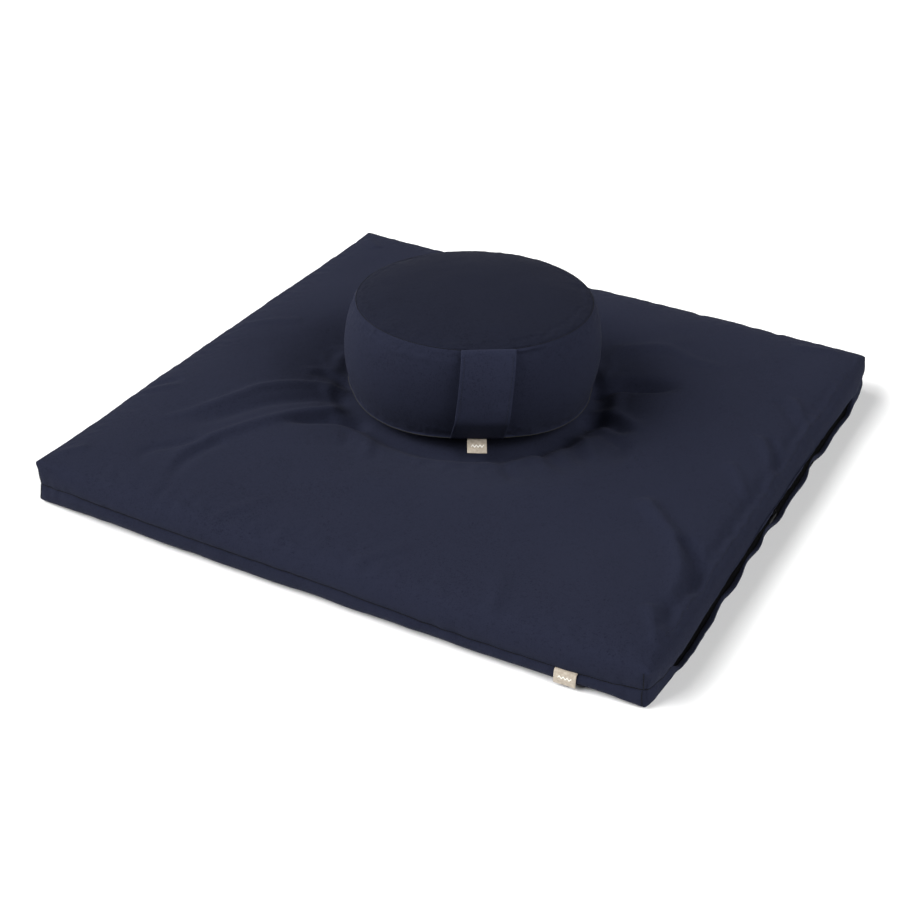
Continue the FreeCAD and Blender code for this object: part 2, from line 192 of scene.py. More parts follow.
class Nodes:
    """A short way to write a node tree."""

    def __init__(self, name, colour):
        self.material = bpy.data.materials.new(name)
        self.material.use_nodes = True
        self.material.diffuse_color = (*colour, 1)
        self.tree = self.material.node_tree
        self.shader = self.tree.nodes["Principled BSDF"]

    def add(self, kind, inputs=None, **values):
        node = self.tree.nodes.new(kind)
        for key, value in values.items():
            setattr(node, key, value)
        for key, value in (inputs or {}).items():
            socket = node.inputs[key]
            if isinstance(value, bpy.types.NodeSocket):
                self.tree.links.new(value, socket)
            else:
                socket.default_value = value
        return node

    def math(self, operation, a, b=0.0):
        return self.add("ShaderNodeMath", {0: a, 1: b}, operation=operation).outputs[0]

    def place(self):
        return self.add("ShaderNodeTexCoord").outputs["Object"]

    def cloth_uv(self):
        return self.add("ShaderNodeUVMap", uv_map="cloth").outputs[0]

    def bump(self, height, strength, distance, **values):
        inputs = {"Height": height, "Strength": strength, "Distance": distance}
        return self.add("ShaderNodeBump", inputs, **values).outputs[0]

    def mix(self, factor, a, b):
        node = self.add("ShaderNodeMix", data_type="RGBA")
        for index, value in ((0, factor), (6, a), (7, b)):
            if isinstance(value, bpy.types.NodeSocket):
                self.tree.links.new(value, node.inputs[index])
            else:
                node.inputs[index].default_value = value
        return node.outputs[2]

    def ramp(self, value, lo, hi, out_lo=0.0, out_hi=1.0):
        return self.add(
            "ShaderNodeMapRange",
            {"Value": value, "From Min": lo, "From Max": hi, "To Min": out_lo, "To Max": out_hi},
            interpolation_type="SMOOTHSTEP",
        ).outputs[0]

    def noise(self, vector, scale, detail=2.0, roughness=0.5):
        return self.add(
            "ShaderNodeTexNoise",
            {"Vector": vector, "Scale": scale, "Detail": detail, "Roughness": roughness},
        ).outputs["Fac"]

    def set(self, **sockets):
        """Links or sets the shader's sockets; an underscore stands for a space."""
        for key, value in sockets.items():
            socket = self.shader.inputs[key.replace("_", " ")]
            if isinstance(value, bpy.types.NodeSocket):
                self.tree.links.new(value, socket)
            else:
                socket.default_value = value


def weave(n, uv, pitch):
    """Height of a plain weave, 0 to 1: threads over and under each other at `pitch` metres."""
    part = n.add("ShaderNodeSeparateXYZ", {0: uv})
    u = n.math("DIVIDE", part.outputs[0], pitch)
    v = n.math("DIVIDE", part.outputs[1], pitch)
    warp = n.math("ABSOLUTE", n.math("SINE", n.math("MULTIPLY", u, math.pi)))
    weft = n.math("ABSOLUTE", n.math("SINE", n.math("MULTIPLY", v, math.pi)))
    parity = n.math("MODULO", n.math("ADD", n.math("FLOOR", u), n.math("FLOOR", v)), 2.0)
    parity = n.math("ABSOLUTE", parity)
    over, under = (
        n.math("MULTIPLY", n.math("POWER", one, 0.6), n.math("ADD", n.math("MULTIPLY", other, 0.45), 0.55))
        for one, other in ((warp, weft), (weft, warp))
    )
    blend = n.add("ShaderNodeMix", data_type="FLOAT")
    for index, value in ((0, parity), (2, over), (3, under)):
        n.tree.links.new(value, blend.inputs[index])
    return blend.outputs[0]


def cloth_material(name, dark, light, pitch=0.0007, rough=0.92, sheen=0.035, bump=0.5, wear=0.35,
                   slub=1.0, gloss=0.035):
    """Woven cotton: thread relief, slubs along both thread directions, mottled dye, paler worn edges, and painted
    shade in the weave's hollows.
    """
    n = Nodes(name, light)
    uv = n.cloth_uv()
    place = n.place()
    height = weave(n, uv, pitch)
    along_u = n.add("ShaderNodeMapping", {"Vector": uv, "Scale": (120, 1900, 1)}).outputs[0]
    along_v = n.add("ShaderNodeMapping", {"Vector": uv, "Scale": (1900, 120, 1)}).outputs[0]
    slub_u = n.noise(along_u, 1.0, 2.0)
    slub_v = n.noise(along_v, 1.0, 2.0)
    streak = n.math("ADD", slub_u, slub_v)
    mottle = n.noise(place, 24.0, 4.0, 0.6)
    cloud = n.noise(place, 5.0, 3.0, 0.55)
    speck = n.noise(place, 620.0, 2.0, 0.7)
    fleck = n.noise(place, 300.0, 3.0, 0.65)
    tone = n.math("ADD", n.math("MULTIPLY", mottle, 0.12), n.math("MULTIPLY", cloud, 0.10))
    tone = n.math("ADD", tone, n.math("MULTIPLY", streak, 0.22 * slub))
    tone = n.math("ADD", tone, n.math("MULTIPLY", speck, 0.52))
    tone = n.math("ADD", tone, n.math("MULTIPLY", fleck, 0.24))
    factor = n.ramp(tone, 0.48, 0.73)
    colour = n.mix(factor, (*dark, 1), (*light, 1))
    # painted shade: the colour darkens towards the weave's low points, where the threads pass under each other
    shade = n.ramp(height, 0.15, 0.8, 0.72, 1.0)
    colour = n.mix(shade, (dark[0] * 0.35, dark[1] * 0.35, dark[2] * 0.35, 1), colour)
    edge = n.add("ShaderNodeNewGeometry").outputs["Pointiness"]
    worn = n.math("MULTIPLY", n.ramp(edge, 0.515, 0.60), wear)
    pale = tuple(min(1.0, c * 2.2) for c in light)
    colour = n.mix(worn, colour, (*pale, 1))
    lint = n.ramp(n.noise(place, 410.0, 1.0, 0.4), 0.80, 0.86, 0.0, 0.30)
    colour = n.mix(lint, colour, (pale[0] * 1.5, pale[1] * 1.5, pale[2] * 1.5, 1))
    relief = n.math("ADD", n.math("MULTIPLY", height, 0.55), n.math("MULTIPLY", streak, 0.45 * slub))
    relief = n.math("ADD", relief, n.math("MULTIPLY", speck, 0.35))
    normal = n.bump(relief, bump, 0.0003)
    roughness = n.ramp(mottle, 0.3, 0.7, rough - 0.05, rough + 0.04)
    n.set(Base_Color=colour, Roughness=roughness, Normal=normal)
    n.set(Specular_IOR_Level=gloss)
    n.set(Sheen_Weight=sheen)
    n.set(Sheen_Roughness=0.55)
    n.set(Sheen_Tint=(*[min(1.0, 0.25 + c * 8) for c in light], 1))
    return n.material


def thread_material(name, colour):
    """Twisted sewing thread with a slight lustre."""
    n = Nodes(name, colour)
    place = n.place()
    twist = n.noise(place, 1800.0, 2.0, 0.6)
    tone = n.mix(n.ramp(twist, 0.3, 0.7), (*[c * 0.6 for c in colour], 1), (*colour, 1))
    normal = n.bump(twist, 0.5, 0.0001)
    n.set(Base_Color=tone, Normal=normal)
    n.set(Roughness=0.8)
    n.set(Specular_IOR_Level=0.12)
    n.set(Sheen_Weight=0.03)
    return n.material


def metal_material(name, colour, metallic, rough):
    """Enamelled cast zinc, rubbed brighter along its edges."""
    n = Nodes(name, colour)
    place = n.place()
    grain = n.noise(place, 900.0, 3.0, 0.6)
    scuff = n.ramp(n.noise(place, 260.0, 4.0, 0.7), 0.5, 0.75)
    edge = n.ramp(n.add("ShaderNodeNewGeometry").outputs["Pointiness"], 0.52, 0.62)
    worn = n.math("MULTIPLY", edge, scuff)
    tone = n.mix(worn, (*colour, 1), (0.012, 0.012, 0.013, 1))
    normal = n.bump(grain, 0.15, 0.0001)
    n.set(Base_Color=tone, Roughness=n.ramp(grain, 0.3, 0.7, rough, rough + 0.12), Normal=normal)
    n.set(Metallic=metallic)
    n.set(Specular_IOR_Level=0.12)
    return n.material


def nylon_material(name, colour):
    n = Nodes(name, colour)
    place = n.place()
    grain = n.noise(place, 1500.0, 2.0, 0.6)
    tone = n.mix(n.ramp(grain, 0.3, 0.7), (*[c * 0.7 for c in colour], 1), (*[c * 1.5 for c in colour], 1))
    normal = n.bump(grain, 0.2, 0.0001)
    n.set(Base_Color=tone, Roughness=n.ramp(grain, 0.3, 0.7, 0.55, 0.7), Normal=normal)
    n.set(Specular_IOR_Level=0.04)
    return n.material


def label_material(name):
    """Beige woven tape with a plain woven zigzag, no lettering."""
    n = Nodes(name, (0.45, 0.40, 0.33))
    uv = n.cloth_uv()
    part = n.add("ShaderNodeSeparateXYZ", {0: uv})
    u, v = part.outputs[0], part.outputs[1]
    wave = n.math("PINGPONG", u, 0.0022)
    from_middle = n.math("SUBTRACT", v, 0.0078)
    line = n.math("ABSOLUTE", n.math("SUBTRACT", from_middle, n.math("MULTIPLY", wave, 1.3)))
    mark = n.math("SUBTRACT", 1.0, n.ramp(line, 0.0007, 0.0010))
    before_end = n.math("SUBTRACT", 1.0, n.ramp(u, 0.0200, 0.0202))
    inside = n.math("MULTIPLY", n.ramp(u, 0.0048, 0.0050), before_end)
    mark = n.math("MULTIPLY", mark, inside)
    height = weave(n, uv, 0.00035)
    place = n.place()
    mottle = n.noise(place, 300.0, 3.0, 0.6)
    tone = n.mix(n.ramp(mottle, 0.3, 0.7), (0.30, 0.255, 0.20, 1), (0.42, 0.365, 0.295, 1))
    tone = n.mix(mark, tone, (0.78, 0.76, 0.70, 1))
    relief = n.math("ADD", height, n.math("MULTIPLY", mark, 1.2))
    normal = n.bump(relief, 0.4, 0.0002)
    n.set(Base_Color=tone, Roughness=n.ramp(mottle, 0.3, 0.7, 0.62, 0.78), Normal=normal)
    n.set(Sheen_Weight=0.2)
    return n.material


def husk_material(name):
    """Heap of buckwheat husks: small dark three-cornered shells, with painted shade in the gaps between them."""
    n = Nodes(name, (0.09, 0.055, 0.035))
    place = n.place()
    cells = n.add("ShaderNodeTexVoronoi", {"Vector": place, "Scale": 260.0}, feature="F1")
    # painted shade: the colour darkens from each husk's middle out to the gaps between husks
    edge = n.ramp(cells.outputs["Distance"], 0.1, 0.7)
    tone = n.mix(edge, (0.13, 0.085, 0.05, 1), (0.02, 0.012, 0.008, 1))
    shift = n.noise(cells.outputs["Color"], 3.0, 1.0)
    tone = n.mix(n.ramp(shift, 0.35, 0.65), tone, (0.06, 0.035, 0.025, 1))
    normal = n.bump(cells.outputs["Distance"], 0.8, 0.002, invert=True)
    n.set(Base_Color=tone, Normal=normal)
    n.set(Roughness=0.55)
    return n.material


def wadding_material(name):
    """Carded cotton: matt white tufts of fibre."""
    n = Nodes(name, (0.80, 0.77, 0.70))
    place = n.place()
    tuft = n.noise(place, 90.0, 6.0, 0.65)
    stretched = n.add("ShaderNodeMapping", {"Vector": place, "Scale": (60, 700, 300)}).outputs[0]
    fibre = n.noise(stretched, 1.0, 4.0, 0.7)
    tone = n.mix(n.ramp(tuft, 0.3, 0.7), (0.66, 0.62, 0.54, 1), (0.84, 0.81, 0.75, 1))
    relief = n.math("ADD", tuft, n.math("MULTIPLY", fibre, 0.5))
    normal = n.bump(relief, 0.9, 0.002)
    n.set(Base_Color=tone, Normal=normal)
    n.set(Roughness=0.95)
    n.set(Sheen_Weight=0.3)
    return n.material


NAVY_DARK = (0.0056, 0.0064, 0.0138)
NAVY_LIGHT = (0.0138, 0.0158, 0.0295)


def shade_of(colour, share):
    return tuple(c * share for c in colour)


CANVAS = cloth_material("navy_canvas", NAVY_DARK, NAVY_LIGHT)
# painted light: the band's and base's canvas is a slightly lighter copy of the navy canvas, matched to how brightly
# the band is lit
BAND_CANVAS_LIT = cloth_material("navy_band_canvas_painted_light", shade_of(NAVY_DARK, 1.05), shade_of(NAVY_LIGHT, 1.05))
# painted shade: the crown's canvas is a darker copy of the navy canvas, standing for the crown getting less light
CROWN_CANVAS_SHADED = cloth_material("navy_crown_canvas_painted_shade", shade_of(NAVY_DARK, 0.68), shade_of(NAVY_LIGHT, 0.68))
STRAP_CLOTH = cloth_material(
    "navy_strap_canvas", shade_of(NAVY_DARK, 1.25), shade_of(NAVY_LIGHT, 1.25), wear=0.45
)
LINING = cloth_material(
    "unbleached_cotton", (0.50, 0.47, 0.41), (0.66, 0.63, 0.57), pitch=0.0005, sheen=0.1
)
TAPE = cloth_material(
    "black_zip_tape", (0.0008, 0.0008, 0.001), (0.0018, 0.0018, 0.0022),
    pitch=0.0005, sheen=0.0, wear=0.1, slub=0.4, gloss=0.02,
)
# painted shade: near-black thread laid along the seams and darts, standing for the shade in the seam grooves
SEAM_SHADE_THREAD = thread_material("painted_seam_shade_thread", (0.0016, 0.0018, 0.0028))
# painted highlight: pale thread for the cushion's base seam, standing for light catching the seam's edge
SEAM_HIGHLIGHT_THREAD = thread_material("painted_highlight_thread", (0.034, 0.034, 0.028))
THREAD = thread_material("navy_thread", (0.010, 0.012, 0.021))
METAL = metal_material("black_enamel", (0.003, 0.003, 0.0035), 0.0, 0.6)
NYLON = nylon_material("black_nylon", (0.0015, 0.0015, 0.0018))
LABEL = label_material("beige_label")
HUSK = husk_material("buckwheat_husk")
WADDING = wadding_material("cotton_wadding")


def paint(obj, material):
    obj.data.materials.clear()
    obj.data.materials.append(material)


def dress(obj, material, body, node):
    """Says what a piece is made of, which body carries it and which CAD node it stands for."""
    paint(obj, material)
    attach(obj, body)
    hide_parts(node)


# ------------------------------------------------------------------ the mat's form
# All lengths in millimetres until a mesh is made. a and b run from -1 to 1 across the mat along X and Y.

def box_middle(node, axis):
    low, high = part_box(node)
    return (low[axis] + high[axis]) / 2 / MM


CORNER = 390.5             # half the side, from the middle to a corner
BULGE = {"left": 8.5, "right": 9.5, "front": 9.0, "back": 9.0}
SEAM_Z = (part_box("mat_zip_teeth_upper")[0][2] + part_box("mat_zip_teeth_lower")[1][2]) / 2 / MM
EDGE_MID, EDGE_CORNER = 42.0, 48.0
TOP_Z, CROWN = 64.5, 4.0
N = 120                    # cells across the mat
CUSHION_AT = (box_middle("husk_fill", 0), box_middle("husk_fill", 1))
CUSHION_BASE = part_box("cushion_bottom_panel")[0][2] / MM
ZIP_Y = (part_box("mat_zip_tape_upper")[0][1] / MM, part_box("mat_zip_tape_upper")[1][1] / MM)
ZIP_X = box_middle("mat_zip_tape_upper", 0)


def spread(count):
    """Places from -1 to 1, closer together near both ends."""
    t = np.linspace(-1, 1, count + 1)
    return t * (1.25 - 0.25 * t ** 2)


def round_off(t, power):
    return np.sqrt(np.clip(1 - np.abs(t) ** power, 0, 1))


def outline(a, b):
    """Plan position of (a, b); the sides bow out between the corners."""
    right, left = BULGE["right"] * (1 - np.abs(b) ** 12), BULGE["left"] * (1 - b ** 4)
    bow_x = np.where(a > 0, right, left) * np.abs(a) ** 3
    bow_y = np.where(b > 0, BULGE["back"], BULGE["front"]) * (1 - np.abs(a) ** 4) * np.abs(b) ** 3
    return a * CORNER + np.sign(a) * bow_x, b * CORNER + np.sign(b) * bow_y


# Folds pressed into the mat's top: path in plan, half width, height. They fan out from under the round
# cushion, and cross the right-hand edge where the zip's hem draws the cloth up.
FOLDS = [
    ([(-148, -58), (-178, -70), (-207, -85), (-242, -126), (-261, -169), (-292, -223), (-332, -266)], 8, 5.0),
    ([(-146, -42), (-168, -45), (-196, -45), (-225, -58)], 8, -4.5),
    ([(-150, -30), (-175, -30), (-205, -36), (-240, -60)], 7, 2.6),
    ([(-140, -80), (-160, -92), (-185, -110), (-212, -146), (-252, -212), (-286, -258)], 12, -5.5),
    ([(-132, -106), (-150, -122), (-170, -150), (-196, -196), (-227, -248), (-238, -279), (-244, -307), (-235, -351)],
     7, 6.0),
    ([(-92, -126), (-112, -130), (-135, -138), (-160, -158), (-180, -188)], 10, -11.0),
    ([(-240, -262), (-262, -290), (-282, -315), (-274, -345)], 8, -3.0),
    ([(-215, -252), (-226, -290), (-230, -320), (-219, -359)], 8, -3.2),
    ([(-385, -178), (-372, -167), (-347, -146)], 6, -3.0),
    ([(-385, -198), (-369, -187), (-340, -163)], 6, 2.4),
    ([(-78, -146), (-64, -170), (-46, -212)], 7, 2.4),
    ([(-100, -150), (-92, -172), (-80, -200)], 6, -1.8),
    ([(104, 96), (120, 112), (145, 126), (175, 136), (225, 148)], 12, -15.0),
    ([(128, 58), (150, 54), (172, 47), (199, 33), (223, 25)], 8, 5.0),
    ([(126, 30), (142, 32), (160, 35), (189, 21), (205, 8)], 10, -12.0),
    ([(134, -6), (150, -20), (172, -45), (200, -83)], 7, 4.4),
    ([(124, -22), (142, -40), (163, -63), (188, -96)], 7, -4.0),
    ([(150, 8), (172, -4), (205, -26), (222, -80)], 9, -5.0),
    ([(84, -112), (98, -128), (115, -148), (140, -175)], 8, -4.0),
    ([(104, -84), (122, -98), (140, -112), (165, -140)], 7, 3.0),
    ([(110, -66), (128, -80), (150, -96), (178, -124)], 7, -3.6),
    ([(90, 204), (112, 212), (164, 236), (207, 224), (266, 237)], 9, 2.6),
    ([(270, -120), (305, -150), (335, -180), (349, -206), (362, -236), (370, -300)], 9, 7.0),
    ([(338, -168), (358, -186), (372, -206), (380, -235), (384, -270)], 9, -8.5),
    ([(386, 190), (385, 139), (380, 85)], 6, 3.4),
    ([(345, 208), (366, 178), (384, 145), (388, 110)], 6, 3.4),
    ([(335, 190), (352, 165), (372, 135)], 6, -2.6),
    ([(340, 90), (362, 58), (378, 20), (388, -25)], 7, 4.0),
    ([(352, 98), (374, 62), (388, 22)], 6, -3.4),
    ([(330, 10), (355, -20), (378, -60)], 7, 2.6),
    ([(374, -352), (377, -240), (378, -120), (378, 0), (378, 120), (377, 240), (376, 325)], 6, -4.2),
    ([(352, -300), (372, -330), (384, -362)], 8, 3.4),
    ([(365, -280), (380, -305), (388, -335)], 7, -2.8),
    ([(-60, 190), (-110, 245), (-180, 300)], 14, 2.4),
    ([(90, 180), (150, 240), (200, 310)], 15, 1.8),
    ([(-340, 330), (-362, 350), (-380, 368)], 8, 2.6),
    ([(-350, -340), (-366, -356), (-380, -372)], 8, 2.8),
    ([(300, 345), (340, 360), (372, 372)], 9, 2.4),
    ([(-300, 60), (-345, 40), (-380, 10)], 9, 1.8),
    ([(-140, -392), (-120, -360), (-90, -320)], 9, 1.8),
    ([(40, -392), (60, -362), (95, -330)], 9, 1.8),
    ([(210, -392), (205, -360), (190, -320)], 10, 1.8),
]


def fold_height(x, y):
    total = np.zeros(np.shape(x))
    for path, width, height in FOLDS:
        points = spline(path, 24)
        best = np.full(np.shape(x), 1e9)
        where = np.zeros(np.shape(x))
        for i in range(len(points) - 1):
            p, q = points[i], points[i + 1]
            d = q - p
            t = np.clip(((x - p[0]) * d[0] + (y - p[1]) * d[1]) / (d @ d), 0, 1)
            distance = np.hypot(x - p[0] - t * d[0], y - p[1] - t * d[1])
            closer = distance < best
            best = np.where(closer, distance, best)
            where = np.where(closer, (i + t) / (len(points) - 1), where)
        fade = smooth(0, 0.08, where) * (1 - smooth(0.62, 1.0, where))
        total += height * fade * np.exp(-(best / width) ** 2)
    return total


def edge_ripples(a, b, x, y):
    """Soft wrinkles that run in from the mat's edges."""
    total = np.zeros(x.size)
    for along, inward, seed in ((y, a, 41), (x, b, 45)):
        depth = CORNER * (1 - np.abs(inward)).ravel()
        side = np.sign(inward).ravel() * 500
        place = np.column_stack([along.ravel(), depth * 0.25 + side, np.zeros(x.size)])
        wave = noise(place, 30, seed) + 0.5 * noise(place, 14, seed + 1)
        strength = 0.4 + 0.6 * smooth(-0.3, 0.5, noise(place, 110, seed + 2))
        total += wave * strength * np.exp(-(depth / 38) ** 2) * 1.3
    return total.reshape(x.shape)


def top_height(a, b):
    """Height of the mat's top surface."""
    x, y = outline(a, b)
    ear = EDGE_CORNER + 7.0 * (a < 0) + 3.0 * (b > 0) * (a > 0)
    edge = EDGE_MID + (ear - EDGE_MID) * (a * a * b * b) ** 4
    rise = (TOP_Z - EDGE_MID) * round_off(a, 13) * round_off(b, 13)
    z = edge + rise + CROWN * (1 - a ** 2) * (1 - b ** 2)
    flat = flat_places(x, y)
    inside = round_off(a, 10) * round_off(b, 10)
    z = z + (layered(flat, 150, 11, 2) * 1.5 + noise(flat, 46, 17) * 0.55).reshape(x.shape) * inside
    z = z + edge_ripples(a, b, x, y) * (0.3 + 0.7 * inside)
    r = np.hypot(x - CUSHION_AT[0], y - CUSHION_AT[1])
    angle = np.arctan2(y - CUSHION_AT[1], x - CUSHION_AT[0])
    spokes = np.column_stack([np.cos(angle).ravel() * 165, np.sin(angle).ravel() * 165, r.ravel() * 0.22])
    gathers = (noise(spokes, 27, 24) + 0.5 * noise(spokes, 13, 25)).reshape(x.shape)
    z = z + gathers * 1.3 * np.exp(-np.abs(r - 172) / 34)
    ring = np.column_stack([np.cos(angle).ravel(), np.sin(angle).ravel(), np.zeros(x.size)])
    reach = 38 + 9 * noise(ring, 0.35, 23).reshape(x.shape)
    floor = CUSHION_BASE - 0.9
    z = z + 4.5 * np.exp(-((r - 275) / 75) ** 2) * inside
    lift = 0.40 * smooth(0, 1, (r - 150) / reach) + 0.60 * smooth(152, 275, r)
    folds = fold_height(x, y) * (0.45 + 0.55 * inside) * smooth(148, 158, r)
    moat_share = 0.35 + 0.65 * smooth(-0.2, 0.7, np.cos(angle - math.radians(-35)))
    folds = folds - 8.0 * moat_share * np.exp(-((r - 165) / 13) ** 2)
    return floor + (z - floor) * lift + folds


def filling_height(a, b, reach, drop):
    """A surface `drop` under the lowest part of the mat's top within `reach` of each place."""
    heights = [top_height(np.clip(a + da, -1, 1), np.clip(b + db, -1, 1))
               for da in (-reach, 0, reach) for db in (-reach, 0, reach)]
    return np.min(heights, axis=0) - drop


def flat_places(x, y):
    return np.column_stack([x.ravel(), y.ravel(), np.zeros(x.size)])


def square_sheet(count, upper):
    """Quads and border of a square sheet of count by count cells."""
    index = np.arange((count + 1) ** 2).reshape(count + 1, count + 1)
    faces = []
    for i in range(count):
        for j in range(count):
            quad = (index[i, j], index[i + 1, j], index[i + 1, j + 1], index[i, j + 1])
            faces.append(quad if upper else quad[::-1])
    border = np.concatenate([index[:-1, 0], index[-1, :-1], index[::-1, -1][:-1], index[0, ::-1][:-1]])
    return faces, border


def skirt_faces(rings, upper):
    """Quads between closed rings of vertex numbers."""
    faces = []
    for one, two in zip(rings, rings[1:]):
        for c in range(len(one)):
            d = (c + 1) % len(one)
            quad = (one[c], two[c], two[d], one[d])
            faces.append(quad if upper else quad[::-1])
    return faces


class Perimeter:
    """The closed ring of vertices round the mat's edge, anticlockwise from the front left corner."""

    def __init__(self, places):
        n = len(places) - 1
        low, high = -np.ones(n), np.ones(n)
        self.a = np.concatenate([places[:-1], high, places[::-1][:-1], low])
        self.b = np.concatenate([low, places[:-1], high, places[::-1][:-1]])
        self.side = np.repeat([0, 1, 2, 3], n)
        normals = np.array([[0, -1], [1, 0], [0, 1], [-1, 0]], float)
        self.out = normals[self.side]
        for corner in range(4):
            self.out[corner * n] = (normals[corner] + normals[corner - 1]) / math.sqrt(2)
        along = np.where(self.side % 2 == 0, self.a, self.b)
        self.along = np.abs(along)
        self.x, self.y = outline(self.a, self.b)
        step = np.hypot(np.diff(np.append(self.x, self.x[0])), np.diff(np.append(self.y, self.y[0])))
        self.s = np.concatenate([[0], np.cumsum(step)[:-1]])
        self.total = step.sum()
        turn = self.s / self.total * 2 * math.pi
        circle = np.column_stack([np.cos(turn), np.sin(turn), np.zeros(len(turn))])
        self.loop = circle * self.total / (2 * math.pi)

    def window(self):
        """1 along the zip, 0 elsewhere."""
        on_right = (self.side == 1)
        past_start = smooth(ZIP_Y[0] + 2, ZIP_Y[0] + 34, self.y)
        return on_right * past_start * (1 - smooth(ZIP_Y[1] - 26, ZIP_Y[1] - 4, self.y))


def seam_sag(side, x):
    """How far the front seam hangs below (or stands above) its even height."""
    sag = (side == 0) * (3.0 - 6.0 * smooth(-60, 200, x))
    return sag * smooth(-390, -330, x) * (1 - smooth(330, 390, x))


ZIP_PINCHES = ((150, 24, 10), (-30, 22, 9), (-95, 30, 7), (-185, 26, 6), (60, 40, 3), (240, 36, 3))


def pinch(y):
    """How far the zip's two hems are drawn together at y, in millimetres."""
    return sum(height * np.exp(-((y - centre) / width) ** 2) for centre, width, height in ZIP_PINCHES)


def hem_heights(ring):
    """Heights of the upper and lower hems along the zip, and the seam everywhere else."""
    w = ring.window()
    y = ring.y
    arch = 1 - 0.85 * np.clip(np.abs(y) / 335, 0, 1) ** 2.6
    upper = SEAM_Z + w * (18.6 * arch + 1.2 * noise(np.column_stack([y, y * 0, y * 0]), 60, 31))
    dip = pinch(y)
    lower = SEAM_Z - w * (17.0 - dip + 1.2 * noise(np.column_stack([y, y * 0, y * 0]), 34, 37))
    sag = seam_sag(ring.side, ring.x) + 0.5 * noise(ring.loop, 70, 39) * (1 - w)
    return upper + sag, lower + sag


PUCKER_SEED = 50


def side_puckers(ring, depth, seed, size=9.0, fade=14.0):
    """Small gathers along a seam; they die out with distance from it."""
    gather = noise(ring.loop, size, seed) + 0.6 * noise(ring.loop, size * 0.52, seed + 1)
    patch = 0.35 + 0.65 * smooth(-0.3, 0.5, noise(ring.loop, 70, seed + 2))
    return gather * patch * np.exp(-(depth / fade) ** 2)


def mat_panel(upper):
    """Vertices, faces and cloth coordinates of the top or bottom panel."""
    places = spread(N)
    ring = Perimeter(places)
    a, b = np.meshgrid(places, places, indexing="ij")
    x, y = outline(a, b)
    if upper:
        z = top_height(a, b)
    else:
        zip_share = smooth(0.9, 1.0, a) * (1 - smooth(0.72, 0.82, np.abs(b)))
        x = x - (0.5 + 0.6 * pinch(y)) * zip_share
        around = flat_places(x, y)
        uneven = (2.2 * noise(around, 42, 93) + 1.2 * noise(around, 20, 94)).reshape(x.shape)
        rim = 9.0 - 6.0 * (a * a * b * b) ** 3 + uneven
        rim = rim * (1 - 0.55 * zip_share)
        z = rim * (1 - round_off(a, 34) * round_off(b, 34))
        flat = flat_places(x, y)
        z = z + (0.5 + 0.5 * noise(flat, 60, 91)).reshape(x.shape) * 0.5
    vertices = np.column_stack([x.ravel(), y.ravel(), z.ravel()])
    faces, border = square_sheet(N, upper)
    hem_up, hem_low = hem_heights(ring)
    window = ring.window()
    edge_x, edge_y, edge_z = x.ravel()[border], y.ravel()[border], z.ravel()[border]
    target = hem_up if upper else hem_low
    corner = ring.along ** 24
    beside = np.exp(-((1 - ring.along) * CORNER / 9 - 1.2) ** 2)
    rows = 8 if upper else 5
    scallop = 1.6 * noise(ring.loop, 44, 95) + 0.9 * noise(ring.loop, 19, 96)
    belly = (2.6 if upper else 3.0 + scallop) * (1 - ring.along ** 12)
    seam_in = 0.9 * (1 - corner) * (1 - window)
    blocks = []
    uv_v = []
    previous = vertices[border]
    distance = np.zeros(len(border))
    for r in range(1, rows + 1):
        t = r / rows
        zz = edge_z + (target - edge_z) * t
        dart = (ring.along > 0.9999) * 3.5 * smooth(0.1, 0.5, t)
        depth = np.abs(target - zz)
        out = belly * math.sin(math.pi * min(1.0, t)) * (1 - 0.65 * window)
        out = out - seam_in * t ** 3 + window * 1.0 * t + beside * 1.6 * math.sin(math.pi * t) - corner * 1.6 * t
        gather = side_puckers(ring, depth, PUCKER_SEED + (0 if upper else 7))
        out = out + gather * (1.1 if upper else 1.3) * (1 - 0.5 * window) - dart
        if not upper:
            out = out + window * 1.5 * t
        block = np.column_stack([edge_x + ring.out[:, 0] * out, edge_y + ring.out[:, 1] * out, zz])
        distance = distance + np.linalg.norm(block - previous, axis=1)
        blocks.append(block)
        uv_v.append(distance.copy())
        previous = block
    sign = 1 if upper else -1
    last = blocks[-1]
    for inset, drop in ((0.5, -0.45), (1.6, -0.75), (3.4, -0.4), (6.5, 0.6)):
        block = last.copy()
        block[:, 0] -= ring.out[:, 0] * inset
        block[:, 1] -= ring.out[:, 1] * inset
        block[:, 2] += sign * drop
        distance = distance + 0.8
        blocks.append(block)
        uv_v.append(distance.copy())
    count = len(border)
    start = len(vertices)
    rings = [border] + [start + k * count + np.arange(count) for k in range(len(blocks))]
    faces += skirt_faces(rings, upper)
    uv = [np.column_stack([x.ravel(), y.ravel()])]
    for distance in uv_v:
        uv.append(np.column_stack([ring.x + ring.out[:, 0] * distance, ring.y + ring.out[:, 1] * distance]))
    points = np.vstack([vertices] + blocks)
    return points, faces, np.vstack(uv), ring


